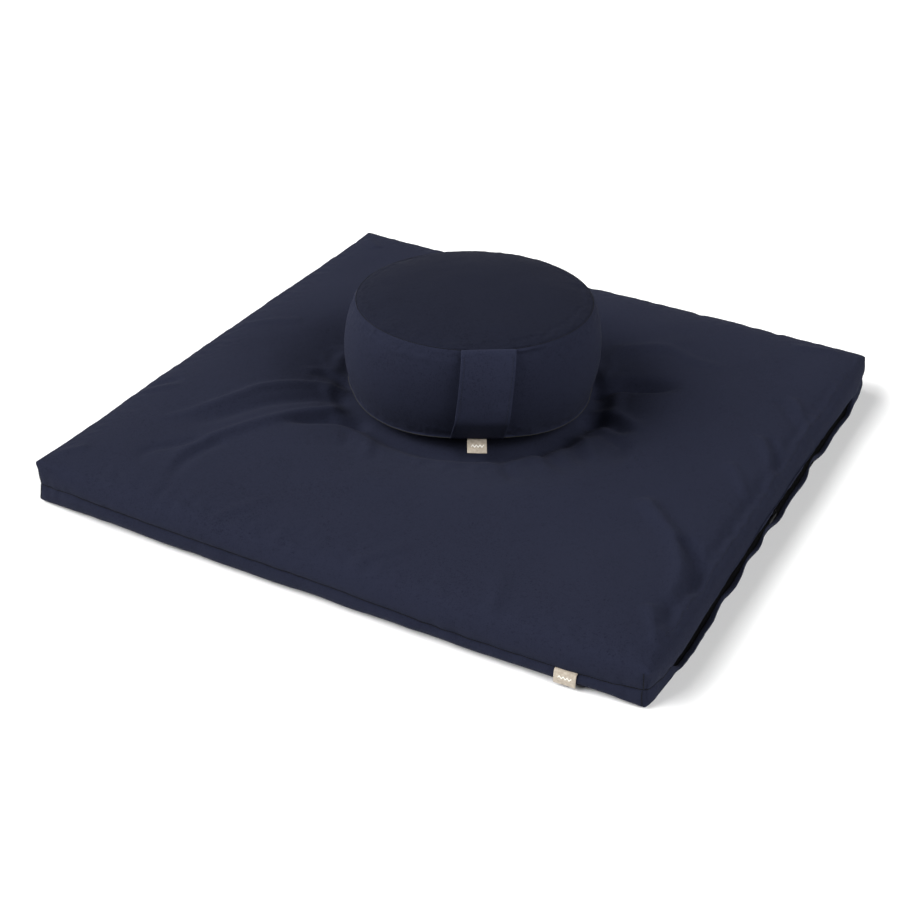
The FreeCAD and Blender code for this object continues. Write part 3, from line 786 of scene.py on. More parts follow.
def settle(obj, goal, pressure, shrink, cap, frames=20, stiffness=8.0, bending=0.4):
    """Simulates the sewn cloth under its filling's pressure and keeps the motion, at most cap millimetres.

    goal is how firmly each vertex is held to its place, from 0 to 1; a negative shrink is extra cloth."""
    start = coordinates(obj.data)
    group = obj.vertex_groups.new(name="held")
    levels = np.round(goal, 2)
    for level in np.unique(levels):
        if level > 0:
            group.add([int(i) for i in np.nonzero(levels == level)[0]], float(level), "REPLACE")
    modifier = obj.modifiers.new("cloth", "CLOTH")
    cloth = modifier.settings
    cloth.quality = 4
    cloth.mass = 0.3
    cloth.tension_stiffness = cloth.compression_stiffness = stiffness
    cloth.shear_stiffness = stiffness * 0.5
    cloth.bending_stiffness = bending
    cloth.effector_weights.gravity = 0
    cloth.use_pressure = True
    cloth.uniform_pressure_force = pressure
    cloth.vertex_group_mass = "held"
    cloth.pin_stiffness = 1.0
    cloth.shrink_min = shrink
    modifier.collision_settings.use_collision = False
    modifier.point_cache.frame_start = 1
    modifier.point_cache.frame_end = frames
    for number in range(1, frames + 1):
        bpy.context.scene.frame_set(number)
    depsgraph = bpy.context.evaluated_depsgraph_get()
    settled = obj.evaluated_get(depsgraph).to_mesh()
    move = coordinates(settled) - start
    obj.evaluated_get(depsgraph).to_mesh_clear()
    obj.modifiers.remove(modifier)
    obj.vertex_groups.clear()
    bpy.context.scene.frame_set(1)
    length = np.linalg.norm(move, axis=1, keepdims=True) / MM
    move *= cap / np.maximum(cap, length)
    set_coordinates(obj.data, start + move)


def mat_goal(points):
    r = np.hypot(points[:, 0] - CUSHION_AT[0], points[:, 1] - CUSHION_AT[1])
    side = np.maximum(np.abs(points[:, 0]), np.abs(points[:, 1]))
    near_edge = smooth(330, 385, side) * (1 - smooth(388, 396, side))
    near_cushion = np.exp(-((r - 190) / 35) ** 2)
    goal = 0.85 - 0.55 * np.maximum(near_edge, near_cushion)
    goal = goal + (1 - goal) * (1 - smooth(150, 166, r))
    n = len(points)
    rings = 5 * 4 * N
    goal[n - rings:] = 1.0
    return goal


top_points, top_faces, top_uv, RING = mat_panel(True)
low_points, low_faces, low_uv, _ = mat_panel(False)
low_points[:, 2] = np.maximum(low_points[:, 2], 0.8)

mat_top = make_object("mat_cover_top", top_points * MM, top_faces, top_uv * MM)
mat_low = make_object("mat_cover_bottom", low_points * MM, low_faces, low_uv * MM)
settle(mat_top, mat_goal(top_points), pressure=1.5, shrink=-0.018, cap=1.8)
for panel, node in ((mat_top, "mat_top_panel"), (mat_low, "mat_bottom_panel")):
    thicken(panel, COVER_T * MM)
    dress(panel, CANVAS, "mat", node)


# ------------------------------------------------------------------ the mat's filling

def mat_slab(name, node, low_share, high_share):
    """A closed layer inside the mat between two shares of its height."""
    n = 40
    places = spread(n) * 0.970
    a, b = np.meshgrid(places, places, indexing="ij")
    x, y = outline(a, b)
    top = filling_height(a, b, 0.03, 3.0)
    bottom = 2.6 + 8 * (1 - round_off(a, 30) * round_off(b, 30))
    flat = flat_places(x, y)
    ripple = (noise(flat, 22, 71) * 0.35).reshape(x.shape)
    low = bottom + (top - bottom) * low_share + LAYER_GAP + ripple * (low_share > 0)
    high = bottom + (top - bottom) * high_share - LAYER_GAP + ripple * (high_share < 1)
    rim = 1 - 0.012 * np.abs(np.maximum(np.abs(a), np.abs(b)) - 1)
    count = (n + 1) ** 2
    vertices = np.vstack([
        np.column_stack([(x * rim).ravel(), (y * rim).ravel(), high.ravel()]),
        np.column_stack([(x * rim).ravel(), (y * rim).ravel(), low.ravel()]),
    ])
    tops, border = square_sheet(n, True)
    faces = []
    for quad in tops:
        faces += [quad, tuple(q + count for q in quad[::-1])]
    middle = 2 * count + np.arange(len(border))
    mid = (vertices[border] + vertices[border + count]) / 2
    ring_out = mid[:, :2] / np.maximum(np.abs(mid[:, :2]).max(axis=1, keepdims=True), 1)
    mid[:, :2] += ring_out * 1.2
    vertices = np.vstack([vertices, mid])
    for k in range(len(border)):
        m = (k + 1) % len(border)
        faces.append((border[k], middle[k], middle[m], border[m]))
        faces.append((middle[k], border[k] + count, border[m] + count, middle[m]))
    obj = make_object(name, vertices * MM, faces, vertices[:, :2] * MM)
    dress(obj, WADDING, "mat", node)


for layer in range(4):
    low_share = BATTING_FROM + BATTING_SHARE * layer
    high_share = BATTING_FROM + BATTING_SHARE * (layer + 1)
    mat_slab(f"mat_batting_{layer + 1}", f"mat_batting_layer_{layer + 1}", low_share, high_share)


def mat_case(name, node, upper):
    """Thin cotton case between the filling and the cover."""
    n = 60
    places = spread(n) * 0.975
    a, b = np.meshgrid(places, places, indexing="ij")
    x, y = outline(a, b)
    if upper:
        z = filling_height(a, b, 0.02, 2.2)
    else:
        z = 1.9 + 8 * (1 - round_off(a, 30) * round_off(b, 30))
    vertices = np.column_stack([x.ravel(), y.ravel(), z.ravel()])
    faces, border = square_sheet(n, upper)
    rings = [border]
    blocks = []
    for t in (0.35, 0.7, 1.0):
        block = vertices[border].copy()
        block[:, 2] += (SEAM_Z + (0.2 if upper else -0.2) - block[:, 2]) * t
        out = block[:, :2] / np.maximum(np.abs(block[:, :2]).max(axis=1, keepdims=True), 1)
        block[:, :2] += out * 1.5 * math.sin(math.pi * t / 2)
        rings.append(len(vertices) + len(blocks) * len(border) + np.arange(len(border)))
        blocks.append(block)
    vertices = np.vstack([vertices] + blocks)
    faces += skirt_faces(rings, upper)
    obj = make_object(name, vertices * MM, faces, vertices[:, :2] * MM)
    thicken(obj, LINING_T * MM, levels=0)
    dress(obj, LINING, "mat", node)


mat_case("mat_case_top", "mat_inner_case_top", True)
mat_case("mat_case_bottom", "mat_inner_case_bottom", False)


# ------------------------------------------------------------------ round cushion

RIM = 320                  # cells round the cushion
BAND_R = [(10.0, 157.0), (14.0, 158.2), (30.0, 160.2), (52.0, 161.6), (78.0, 161.4), (98.0, 159.2), (112.0, 155.8),
          (122.0, 152.4), (128.0, 149.8), (131.0, 148.0)]
SEAM_LOW_H, SEAM_TOP_H = 10.0, 131.0
SEAM_LOW_R, SEAM_TOP_R = 157.0, 148.0
APEX_H = 153.0
FRONT_TUCK = 6.5
HANDLE_TURN = math.radians(-58.0)
CUSHION_ZIP_START, CUSHION_ZIP_ARC = math.radians(45.0), math.radians(150.0)
ZIP_CLEARANCE = 6.5        # the inner bag and the husks stand back this far behind the zip's slider
CUSHION_WINDOW = (15.0, 25.0)      # heights of the two hems over the round cushion's zip


def ring_points(theta, radius, height):
    """Row-frame points from cylindrical ones about the cushion's axis, in millimetres."""
    return np.column_stack([
        CUSHION_AT[0] + radius * np.cos(theta), CUSHION_AT[1] + radius * np.sin(theta),
        CUSHION_BASE + height + 0 * theta,
    ])


THETA = np.linspace(0, 2 * math.pi, RIM, endpoint=False)
CIRCLE = np.column_stack([np.cos(THETA), np.sin(THETA), np.zeros(RIM)])


def top_seam(theta):
    """Height of the top seam: the husks have shifted towards the handle."""
    return SEAM_TOP_H + 1.0 + 4.0 * np.cos(theta + math.radians(36))


def low_seam(theta):
    """Height of the base seam: the handle pulls it up a little."""
    return SEAM_LOW_H + 10.0 * np.exp(-6.5 * (1 - np.cos(theta - HANDLE_TURN)))


def front_share(theta):
    """1 round the front of the cushion, 0 along the zip at its back."""
    degrees = np.degrees(theta) % 360
    return 1 - smooth(18, 40, degrees) * (1 - smooth(200, 222, degrees))


def tuck(theta, height):
    """How far the band's lower part is drawn in at the front."""
    return FRONT_TUCK * front_share(theta) * np.exp(-((height - SEAM_LOW_H) / 30) ** 2)


def rim_puckers(seed, size):
    gather = noise(CIRCLE * 155, size, seed) + 0.5 * noise(CIRCLE * 155, size * 0.5, seed + 1)
    patch = 0.4 + 0.6 * smooth(-0.4, 0.4, noise(CIRCLE * 155, 80, seed + 2))
    return gather * patch


def in_window(height):
    return CUSHION_WINDOW[0] <= height < CUSHION_WINDOW[1]


def beside_zip_share(theta):
    """1 along the round cushion's zip, falling to 0 just past its ends."""
    start, end = CUSHION_ZIP_START, CUSHION_ZIP_START + CUSHION_ZIP_ARC
    return smooth(start - 0.12, start - 0.04, theta) * (1 - smooth(end + 0.04, end + 0.12, theta))


def band_mesh(inset=0.0):
    """Band from seam to seam, open where the zip runs; or a closed one `inset` inside it."""
    heights = np.concatenate([
        [SEAM_LOW_H], SEAM_LOW_H + np.array([1.2, 3.0]), CUSHION_WINDOW[:1], [20.0], CUSHION_WINDOW[1:],
        np.linspace(29, 122, 22), SEAM_TOP_H - np.array([5.5, 3.0, 1.2]), [SEAM_TOP_H],
    ])
    knots = spline(BAND_R, 200)
    radii = np.interp(heights, knots[:, 0], knots[:, 1])
    blocks, uv = [], []
    low, high = rim_puckers(101, 11), rim_puckers(111, 10)
    foot, brow = low_seam(THETA), top_seam(THETA)
    degrees = (np.degrees(THETA) + 180) % 360 - 180
    along = 0.0
    radii[0] = SEAM_LOW_R + 1.6
    radii[-1] = SEAM_TOP_R - 1.1
    radii = radii - inset
    for k, (h, r) in enumerate(zip(heights, radii)):
        near_low = np.exp(-((h - SEAM_LOW_H) / 13) ** 2) * smooth(0, 3, h - SEAM_LOW_H)
        near_top = np.exp(-((SEAM_TOP_H - h) / 12) ** 2) * smooth(0, 3, SEAM_TOP_H - h)
        surface = ring_points(THETA, r, h)
        lump = noise(surface, 75, 121) * 1.3 + noise(surface, 30, 127) * 0.35
        calm = smooth(0, 14, h - SEAM_LOW_H) * smooth(0, 14, SEAM_TOP_H - h)
        out = low * near_low * 1.1 + high * near_top * 1.0 + lump * calm
        right_of_strap = smooth(-46, -42, degrees) * (1 - smooth(-38, -27, degrees))
        crease = 1.5 * np.exp(-((h - 128) / 1.8) ** 2) - 2.8 * np.exp(-((h - 124) / 2.6) ** 2)
        out = out + right_of_strap * crease
        share = (h - SEAM_LOW_H) / (SEAM_TOP_H - SEAM_LOW_H)
        if inset:
            out = out - ZIP_CLEARANCE * beside_zip_share(THETA) * np.exp(-((h - 20) / 10) ** 2)
        blocks.append(ring_points(THETA, r + out - tuck(THETA, h), foot + (brow - foot) * share))
        along = 0.0 if k == 0 else along + math.hypot(h - heights[k - 1], r - radii[k - 1])
        uv.append(along)
    for turned, drop in ((0.9, 0.3), (2.6, 0.1), (5.5, -0.8)) if inset == 0 else ():
        blocks.append(ring_points(THETA, SEAM_TOP_R - 1.1 - turned, brow + drop))
        uv.append(along + turned)
    points = np.vstack(blocks)
    cloth = np.vstack([np.column_stack([THETA * 158, np.full(RIM, v)]) for v in uv])
    open_rows = [k for k, h in enumerate(heights) if in_window(h)]
    zip_end = CUSHION_ZIP_START + CUSHION_ZIP_ARC
    faces = []
    for face in grid_faces(len(blocks), RIM, wrap=True):
        row, column = divmod(face[0], RIM)
        far_side = THETA[column] + 2 * math.pi / RIM
        beside_zip = CUSHION_ZIP_START <= THETA[column] + 1e-6 and far_side <= zip_end
        if inset or not (row in open_rows and beside_zip):
            faces.append(face)
    return points, faces, cloth


def disc_mesh(upper, inset=0.0):
    """Top or bottom panel, or one `inset` inside it: rings from the seam inwards, with half as many cells each
    time the radius halves."""
    seam_r = SEAM_TOP_R if upper else SEAM_LOW_R
    seam_h = top_seam(THETA) if upper else low_seam(THETA)
    if upper:
        radii = np.concatenate([seam_r - np.array([1.1, 1.9, 3.3, 5.6]), np.linspace(139, 5, 38)])
        gather = rim_puckers(141, 12)
    else:
        near_seam = seam_r - np.array([-1.6, 0.8, 2.0, 4.0, 7.0, 10.5, 14.0])
        radii = np.concatenate([near_seam, np.linspace(139, 5, 36)])
        gather = rim_puckers(151, 12)
    blocks, uv = [], []
    for turned, drop in ((6.6, -0.7), (3.7, -0.7), (2.0, -0.5)) if upper and inset == 0 else ():
        blocks.append(ring_points(THETA, seam_r - turned, seam_h + drop))
        uv.append(seam_r + turned)
    for r in radii:
        inward = seam_r - r
        depth_in = max(inward, 0.0)
        if upper:
            height = seam_h + (APEX_H - seam_h) * (1 - (r / seam_r) ** 2.1) ** 0.88 * smooth(0.6, 2.2, inward)
        else:
            reach = 18 + 1.3 * (seam_h - SEAM_LOW_H)
            height = seam_h * (1 - np.clip(depth_in / reach, 0, 1) ** 1.5) - 0.2 * (inward < 0)
        surface = ring_points(THETA, r, 0)
        pleat = gather * np.exp(-(depth_in / (24 if upper else 9)) ** 1.3) * smooth(0, 3, inward)
        calm = smooth(0, 20, inward)
        if upper:
            rise = pleat * 1.2 + (noise(surface, 70, 161) * 1.3 + noise(surface, 26, 163) * 0.35) * calm
        else:
            rise = np.maximum(pleat * 0.5, -0.1) + (0.5 + 0.5 * noise(surface, 30, 167)) * 0.3 * calm
        level = height + rise
        level = level - inset if upper else level + inset
        drawn_in = 0 if upper else tuck(THETA, SEAM_LOW_H) * r / seam_r
        blocks.append(ring_points(THETA, max(r - inset, 0.9 * r) - drawn_in, level))
        uv.append(r)
    points, cloth, rings, count = [], [], [], 0
    step = 1
    for block, r in zip(blocks, uv):
        if r < 70 / step and step < 32:
            step *= 2
        kept = slice(None, None, step)
        points.append(block[kept])
        cloth.append(np.column_stack([np.cos(THETA[kept]) * r, np.sin(THETA[kept]) * r]))
        rings.append(count + np.arange(RIM // step))
        count += RIM // step
    faces = []
    for one, two in zip(rings, rings[1:]):
        every = len(one) // len(two)
        for c in range(len(two)):
            d = (c + 1) % len(two)
            edge = [one[(c * every + k) % len(one)] for k in range(every + 1)]
            faces.append(tuple(edge) + (two[d], two[c]))
    faces.append(tuple(rings[-1]))
    if not upper:
        faces = [face[::-1] for face in faces]
    return np.vstack(points), faces, np.vstack(cloth)


def cushion_piece(name, mesh, node, material):
    points, faces, cloth = mesh
    obj = make_object(name, points * MM, faces, cloth * MM)
    if name != "cushion_base":
        settle(obj, cushion_goal(points), pressure=3.0, shrink=-0.014, cap=1.6)
    thicken(obj, COVER_T * MM)
    dress(obj, material, "round_cushion", node)
    return obj


def cushion_goal(points):
    """Firm at the seams and the zip, loose between them."""
    r = np.hypot(points[:, 0] - CUSHION_AT[0], points[:, 1] - CUSHION_AT[1])
    h = points[:, 2] - CUSHION_BASE
    theta = np.arctan2(points[:, 1] - CUSHION_AT[1], points[:, 0] - CUSHION_AT[0])
    top = np.abs(h - top_seam(theta)) + 0.6 * np.maximum(SEAM_TOP_R - 1.1 - r, 0)
    low = np.abs(h - low_seam(theta))
    nearest = np.minimum(top, low)
    return 0.35 + 0.45 * smooth(10, 35, nearest) + 0.65 * (1 - smooth(0.5, 4.0, nearest))


def filling_mesh(inset):
    """Closed heap of husks `inset` inside the cover."""
    low, band, top = disc_mesh(False, inset), band_mesh(inset), disc_mesh(True, inset)
    points, cloth = (np.vstack([piece[part] for piece in (low, band, top)]) for part in (0, 2))
    faces = list(low[1])
    band_start, top_start = len(low[0]), len(low[0]) + len(band[0])
    faces += [tuple(v + band_start for v in face) for face in band[1]]
    faces += [tuple(v + top_start for v in face) for face in top[1]]
    for c in range(RIM):
        d = (c + 1) % RIM
        faces.append((c, d, band_start + d, band_start + c))
        faces.append((top_start - RIM + c, top_start - RIM + d, top_start + d, top_start + c))
    return points, faces, cloth


def inner_piece(name, mesh, node, material):
    points, faces, cloth = mesh
    obj = make_object(name, points * MM, faces, cloth * MM)
    if material is LINING:
        thicken(obj, LINING_T * MM, levels=0)
    dress(obj, material, "round_cushion", node)


inner_piece("cushion_bag_band", band_mesh(2.4), "cushion_inner_bag_band", LINING)
inner_piece("cushion_bag_crown", disc_mesh(True, 2.4), "cushion_inner_bag_top", LINING)
inner_piece("cushion_bag_base", disc_mesh(False, 2.0), "cushion_inner_bag_bottom", LINING)
inner_piece("cushion_husks", filling_mesh(4.0), "husk_fill", HUSK)

band = cushion_piece("cushion_band", band_mesh(), "cushion_side_band", BAND_CANVAS_LIT)
cushion_piece("cushion_crown", disc_mesh(True), "cushion_top_panel", CROWN_CANVAS_SHADED)
cushion_piece("cushion_base", disc_mesh(False), "cushion_bottom_panel", BAND_CANVAS_LIT)


# ------------------------------------------------------------------ handle

HANDLE_TOP_TURN, HANDLE_FOOT_TURN = math.radians(-56.4), math.radians(-60.4)
STRAP_W, STRAP_T = 65.0, 2.0
STRAP_PATH = [(146.3, 135.6), (149.4, 135.9), (153.6, 132.4), (161.0, 119.0), (168.4, 99.0), (172.6, 79.0),
              (174.2, 64.0), (172.8, 52.0), (166.5, 41.0), (159.8, 31.0), (155.0, 23.5), (151.0, 19.4)]


def on_cushion(radius, side, turn, height):
    """A place `radius` out from the cushion's axis at `turn`, `side` off that line, in the row's frame."""
    x = radius * np.cos(turn) - side * np.sin(turn)
    y = radius * np.sin(turn) + side * np.cos(turn)
    return CUSHION_AT[0] + x, CUSHION_AT[1] + y, CUSHION_BASE + height


def strap_frame(count):
    path = spline(STRAP_PATH, count)
    tangent = np.gradient(path, axis=0)
    tangent /= np.linalg.norm(tangent, axis=1, keepdims=True)
    normal = np.column_stack([-tangent[:, 1], tangent[:, 0]])
    share = np.linspace(0, 1, count)
    return path, normal, share


def strap_mesh():
    rows, columns = 90, 28
    path, normal, share = strap_frame(rows)
    section = []
    half, thick = STRAP_W / 2, STRAP_T / 2
    across = np.linspace(-1, 1, columns)
    for w in across:
        section.append((w * (half - 0.6), thick * (1 - 0.25 * abs(w) ** 8)))
    section.append((half, 0.35 * thick))
    section.append((half, -0.35 * thick))
    for w in across[::-1]:
        section.append((w * (half - 0.6), -thick * (1 - 0.25 * abs(w) ** 8)))
    section.append((-half, -0.35 * thick))
    section.append((-half, 0.35 * thick))
    section = np.array(section)
    blocks, cloth = [], []
    for k in range(rows):
        turn = HANDLE_TOP_TURN + (HANDLE_FOOT_TURN - HANDLE_TOP_TURN) * share[k]
        side = section[:, 0]
        slack = math.sin(math.pi * share[k])
        place = np.column_stack([side * 0.7, np.full(len(side), share[k] * 130), np.zeros(len(side))])
        wave = noise(place, (34, 26, 1), 201) * 0.9 * slack + noise(place, (16, 12, 1), 203) * 0.3 * slack
        curl = -((side / half) ** 2) * 1.0 * slack
        off = section[:, 1] + wave + curl
        radius = path[k, 0] + normal[k, 0] * off * -1
        height = path[k, 1] + normal[k, 1] * off * -1
        blocks.append(np.column_stack(on_cushion(radius, side, turn, height)))
        cloth.append(np.column_stack([side + (section[:, 1] < 0) * 80, np.full(len(side), share[k] * 135)]))
    return np.vstack(blocks), bar_faces(rows, len(section)), np.vstack(cloth)


points, faces, cloth = strap_mesh()
strap = make_object("cushion_handle", points * MM, faces, cloth * MM)
strap_sub = strap.modifiers.new("sub", "SUBSURF")
strap_sub.levels = strap_sub.render_levels = 1
apply_modifiers(strap)
dress(strap, STRAP_CLOTH, "round_cushion", "handle_strap")


# ------------------------------------------------------------------ stitches

def surface_tree(obj):
    return BVHTree.FromPolygons(
        [tuple(v) for v in coordinates(obj.data)], [tuple(p.vertices) for p in obj.data.polygons]
    )


def stitch_row(name, obj, path, outward, body, pitch=3.0, length=2.3, radius=0.28, closed=False,
               thread=THREAD):
    """Sewn running stitches laid on obj's surface along a path, in millimetres."""
    tree = surface_tree(obj)
    path = np.asarray(path, float)
    if closed:
        path = np.vstack([path, path[:1]])
    seg = np.linalg.norm(np.diff(path, axis=0), axis=1)
    at = np.concatenate([[0], np.cumsum(seg)])
    count = int(at[-1] / pitch)
    vertices, faces = [], []
    steps, sides = 5, 6
    for k in range(count):
        centre = (k + 0.5) * at[-1] / count
        line = np.linspace(centre - length / 2, centre + length / 2, steps)
        spots = np.column_stack([np.interp(line, at, path[:, j]) for j in range(3)])
        placed, normals = [], []
        for spot in spots:
            hit, normal, _, _ = tree.find_nearest(Vector(spot * MM))
            guide = Vector(outward(spot))
            if normal.dot(guide) < 0:
                normal = -normal
            placed.append(np.array(hit) / MM)
            normals.append(np.array(normal))
        placed, normals = np.array(placed), np.array(normals)
        tangent = np.gradient(placed, axis=0)
        tangent /= np.maximum(np.linalg.norm(tangent, axis=1, keepdims=True), 1e-9)
        start = len(vertices)
        for i in range(steps):
            arch = math.sin(math.pi * i / (steps - 1))
            middle = placed[i] + normals[i] * (radius * (1.3 * arch - 0.55))
            across = np.cross(normals[i], tangent[i])
            width = radius * (0.55 + 0.45 * arch)
            for j in range(sides):
                turn = 2 * math.pi * j / sides
                vertices.append(middle + width * (math.cos(turn) * across + math.sin(turn) * normals[i]))
        faces += tube_faces(steps, sides, start)
    row = make_object(name, np.array(vertices) * MM, faces)
    paint(row, thread)
    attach(row, body)


def from_cushion(spot):
    return (spot[0] - CUSHION_AT[0], spot[1] - CUSHION_AT[1], 0)


def strap_edge(side):
    path, _, share = strap_frame(60)
    turn = HANDLE_TOP_TURN + (HANDLE_FOOT_TURN - HANDLE_TOP_TURN) * share
    return np.column_stack(on_cushion(path[:, 0] + 3, side, turn, path[:, 1]))[4:-6]


def seam_line(name, obj, path, body, thread, radius=0.45, closed=False):
    """Unbroken thread lying in a seam; with the dark thread it is painted shade in the seam's groove, with the pale
    one a painted highlight on the seam's edge.
    """
    middle = np.mean(path, axis=0)
    stitch_row(name, obj, path, lambda spot: (spot[0] - middle[0], spot[1] - middle[1], 0), body,
               pitch=3.0, length=3.2, radius=radius, closed=closed, thread=thread)


for label, side in (("left", -1), ("right", 1)):
    edge = strap_edge(side * (STRAP_W / 2 - 4.0))
    stitch_row(f"handle_stitches_{label}", strap, edge, from_cushion, "round_cushion")


seam_up, seam_low = hem_heights(RING)
shut = RING.window() < 0.02
first_shut = int(np.argmax(shut & (RING.side == 1) & (RING.y > 0)))
last_shut = int(np.argmax(~shut))
order = np.r_[first_shut:len(shut), 0:last_shut]
seam_path = np.column_stack([RING.x - 0.3 * RING.out[:, 0], RING.y - 0.3 * RING.out[:, 1], seam_up])[order]
# the mat's seam and dart threads are near-black: painted shade in the seam grooves
stitch_row("mat_seam_shade_line", mat_top, seam_path, lambda spot: (spot[0], spot[1], 0), "mat",
           pitch=3.0, length=3.2, radius=0.5, thread=SEAM_SHADE_THREAD)
for corner, (east, north) in enumerate(((-1, -1), (1, -1), (1, 1), (-1, 1))):
    for panel, high, low in ((mat_top, 46.0, SEAM_Z + 1.0), (mat_low, SEAM_Z - 1.0, 4.0)):
        heights = np.linspace(high, low, 12)
        across = np.linspace(385.5, 387.5, 12)
        dart_path = np.column_stack([east * across, np.full(12, north * 392.0), heights])
        stitch_row(f"{panel.name}_dart_{corner}", panel, dart_path, lambda spot: (0, spot[1], 0), "mat",
                   pitch=2.0, length=2.2, radius=0.5, thread=SEAM_SHADE_THREAD)
# the cushion's top seam thread is near-black: painted shade in the seam's groove
seam_line("cushion_top_seam_shade_line", band, ring_points(THETA, SEAM_TOP_R - 0.4, top_seam(THETA)),
          "round_cushion", SEAM_SHADE_THREAD, closed=True)
# the base seam's pale thread is a painted highlight on the seam's edge
seam_line("cushion_base_seam_highlight_line", band,
          ring_points(THETA, SEAM_LOW_R + 2.4 - tuck(THETA, SEAM_LOW_H), low_seam(THETA) + 0.2),
          "round_cushion", SEAM_HIGHLIGHT_THREAD, radius=0.5, closed=True)

hem_y = np.linspace(ZIP_Y[0] + 8, ZIP_Y[1] - 8, 220)
hem_path = np.column_stack([np.full(220, 391.5), hem_y, np.full(220, 70.0)])
stitch_row("mat_hem_stitches", mat_top, hem_path, lambda spot: (0.3, 0, 1), "mat")


# ------------------------------------------------------------------ zips

def tape_mesh(points_of, length, low, high, thick):
    """Closed woven strip. points_of(distance, across, depth) gives row-frame points."""
    rows = max(8, int(length / 6))
    across = np.linspace(low, high, 9)
    section = [(w, thick / 2) for w in across] + [(w, -thick / 2) for w in across[::-1]]
    blocks, cloth = [], []
    for k in range(rows + 1):
        s = length * k / rows
        blocks.append(np.array([points_of(s, w, d) for w, d in section]))
        cloth.append(np.array([(s, w + (d < 0) * 40) for w, d in section]))
    return np.vstack(blocks), bar_faces(rows + 1, len(section)), np.vstack(cloth)


def coil_mesh(points_of, length, sign, pitch=1.35):
    """One side of a nylon coil: a loop of thick filament for each tooth."""
    vertices, faces = [], []
    count = int(length / pitch)
    steps, sides = 9, 5
    wire = 0.33
    for k in range(count):
        s = (k + 0.5) * length / count
        turn = np.linspace(-0.5 * math.pi, 1.5 * math.pi, steps)
        start = len(vertices)
        for i, angle in enumerate(turn):
            w = 1.12 + 0.52 * math.sin(angle)
            d = 0.5 * math.cos(angle) - 0.6
            lean = 0.22 * (i / (steps - 1) - 0.5)
            for j in range(sides):
                phi = 2 * math.pi * j / sides
                ring_w = w + wire * math.cos(phi) * math.sin(angle)
                ring_d = d + wire * math.cos(phi) * math.cos(angle)
                vertices.append(points_of(s + lean * pitch + wire * math.sin(phi), sign * ring_w, ring_d))
        faces += tube_faces(steps, sides, start, flip=sign < 0)
    return np.array(vertices), faces


def mat_zip_point(s, across, depth):
    return (ZIP_X + depth, ZIP_Y[0] + s, SEAM_Z + across)


CUSHION_TAPE_R = 156.4
CUSHION_ZIP_H = (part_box("cushion_zip_teeth_upper")[0][2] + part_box("cushion_zip_teeth_lower")[1][2]) / 2 / MM


def cushion_zip_point(s, across, depth):
    turn = CUSHION_ZIP_START + s / CUSHION_TAPE_R
    radius = CUSHION_TAPE_R + depth
    return (CUSHION_AT[0] + radius * math.cos(turn), CUSHION_AT[1] + radius * math.sin(turn),
            CUSHION_ZIP_H + across)


def zip_pieces(prefix, point, length, reach, body):
    for name, sign in (("upper", 1), ("lower", -1)):
        low, high = sorted((sign * 0.3, sign * reach[sign > 0]))
        points, faces, cloth = tape_mesh(point, length, low, high, 0.6)
        tape = make_object(f"{prefix}_tape_{name}", points * MM, faces, cloth * MM)
        dress(tape, TAPE, body, f"{prefix}_zip_tape_{name}")
        points, faces = coil_mesh(lambda s, w, d: point(s + 3.0, w, d), length - 6.0, sign)
        coil = make_object(f"{prefix}_coil_{name}", points * MM, faces)
        dress(coil, NYLON, body, f"{prefix}_zip_teeth_{name}")


zip_pieces("mat", mat_zip_point, ZIP_Y[1] - ZIP_Y[0], (18.5, 20.5), "mat")
zip_pieces("cushion", cushion_zip_point, CUSHION_ZIP_ARC * CUSHION_TAPE_R, (7.5, 7.5), "round_cushion")

for node in ("mat_zip_slider", "mat_zip_pull", "mat_zip_stops",
             "cushion_zip_slider", "cushion_zip_pull", "cushion_zip_stops"):
    paint(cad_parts[node], METAL)


# ------------------------------------------------------------------ labels

def label_mesh(path, width, place):
    """Folded tape: path is (out, up) pairs from the seam to the fold; place(across, out, up) gives points."""
    rows, columns = 26, 18
    line = spline(path, rows)
    tangent = np.gradient(line, axis=0)
    tangent /= np.linalg.norm(tangent, axis=1, keepdims=True)
    normal = np.column_stack([tangent[:, 1], -tangent[:, 0]])
    length = np.concatenate([[0], np.cumsum(np.linalg.norm(np.diff(line, axis=0), axis=1))])
    across = np.linspace(-width / 2, width / 2, columns)
    blocks, cloth = [], []
    for side in (1, -1):
        for k in range(rows):
            ends = 1 - 0.75 * smooth(rows - 4, rows - 1, k)
            wave = 0.35 * np.sin(across / width * 4.4 + 0.6) * smooth(0, rows - 1, k)
            off = side * 0.32 * ends + wave
            out = line[k, 0] + normal[k, 0] * off
            up = line[k, 1] + normal[k, 1] * off
            blocks.append(np.array([place(w, o, u) for w, o, u in zip(across, out, up)]))
            cloth.append(np.column_stack([across + width / 2, np.full(columns, length[-1] - length[k])]))
    half = rows * columns
    faces = grid_faces(rows, columns) + grid_faces(rows, columns, start=half, flip=True)
    for c in range(columns - 1):
        faces.append((c, half + c, half + c + 1, c + 1))
        k = (rows - 1) * columns + c
        faces.append((k, k + 1, half + k + 1, half + k))
    for r in range(rows - 1):
        k = r * columns
        faces.append((k, k + columns, half + k + columns, half + k))
        k = r * columns + columns - 1
        faces.append((k, half + k, half + k + columns, k + columns))
    return np.vstack(blocks), faces, np.vstack(cloth)


LABEL_LOW, LABEL_HIGH = (np.array(corner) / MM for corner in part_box("mat_label"))
LABEL_X = (LABEL_LOW[0] + LABEL_HIGH[0]) / 2
LABEL_Y = (LABEL_LOW[1] + LABEL_HIGH[1]) / 2
LABEL_W = LABEL_HIGH[0] - LABEL_LOW[0]


def mat_label_place(across, out, up):
    return (LABEL_X + across, LABEL_Y - out, SEAM_Z - 3.0 + up)


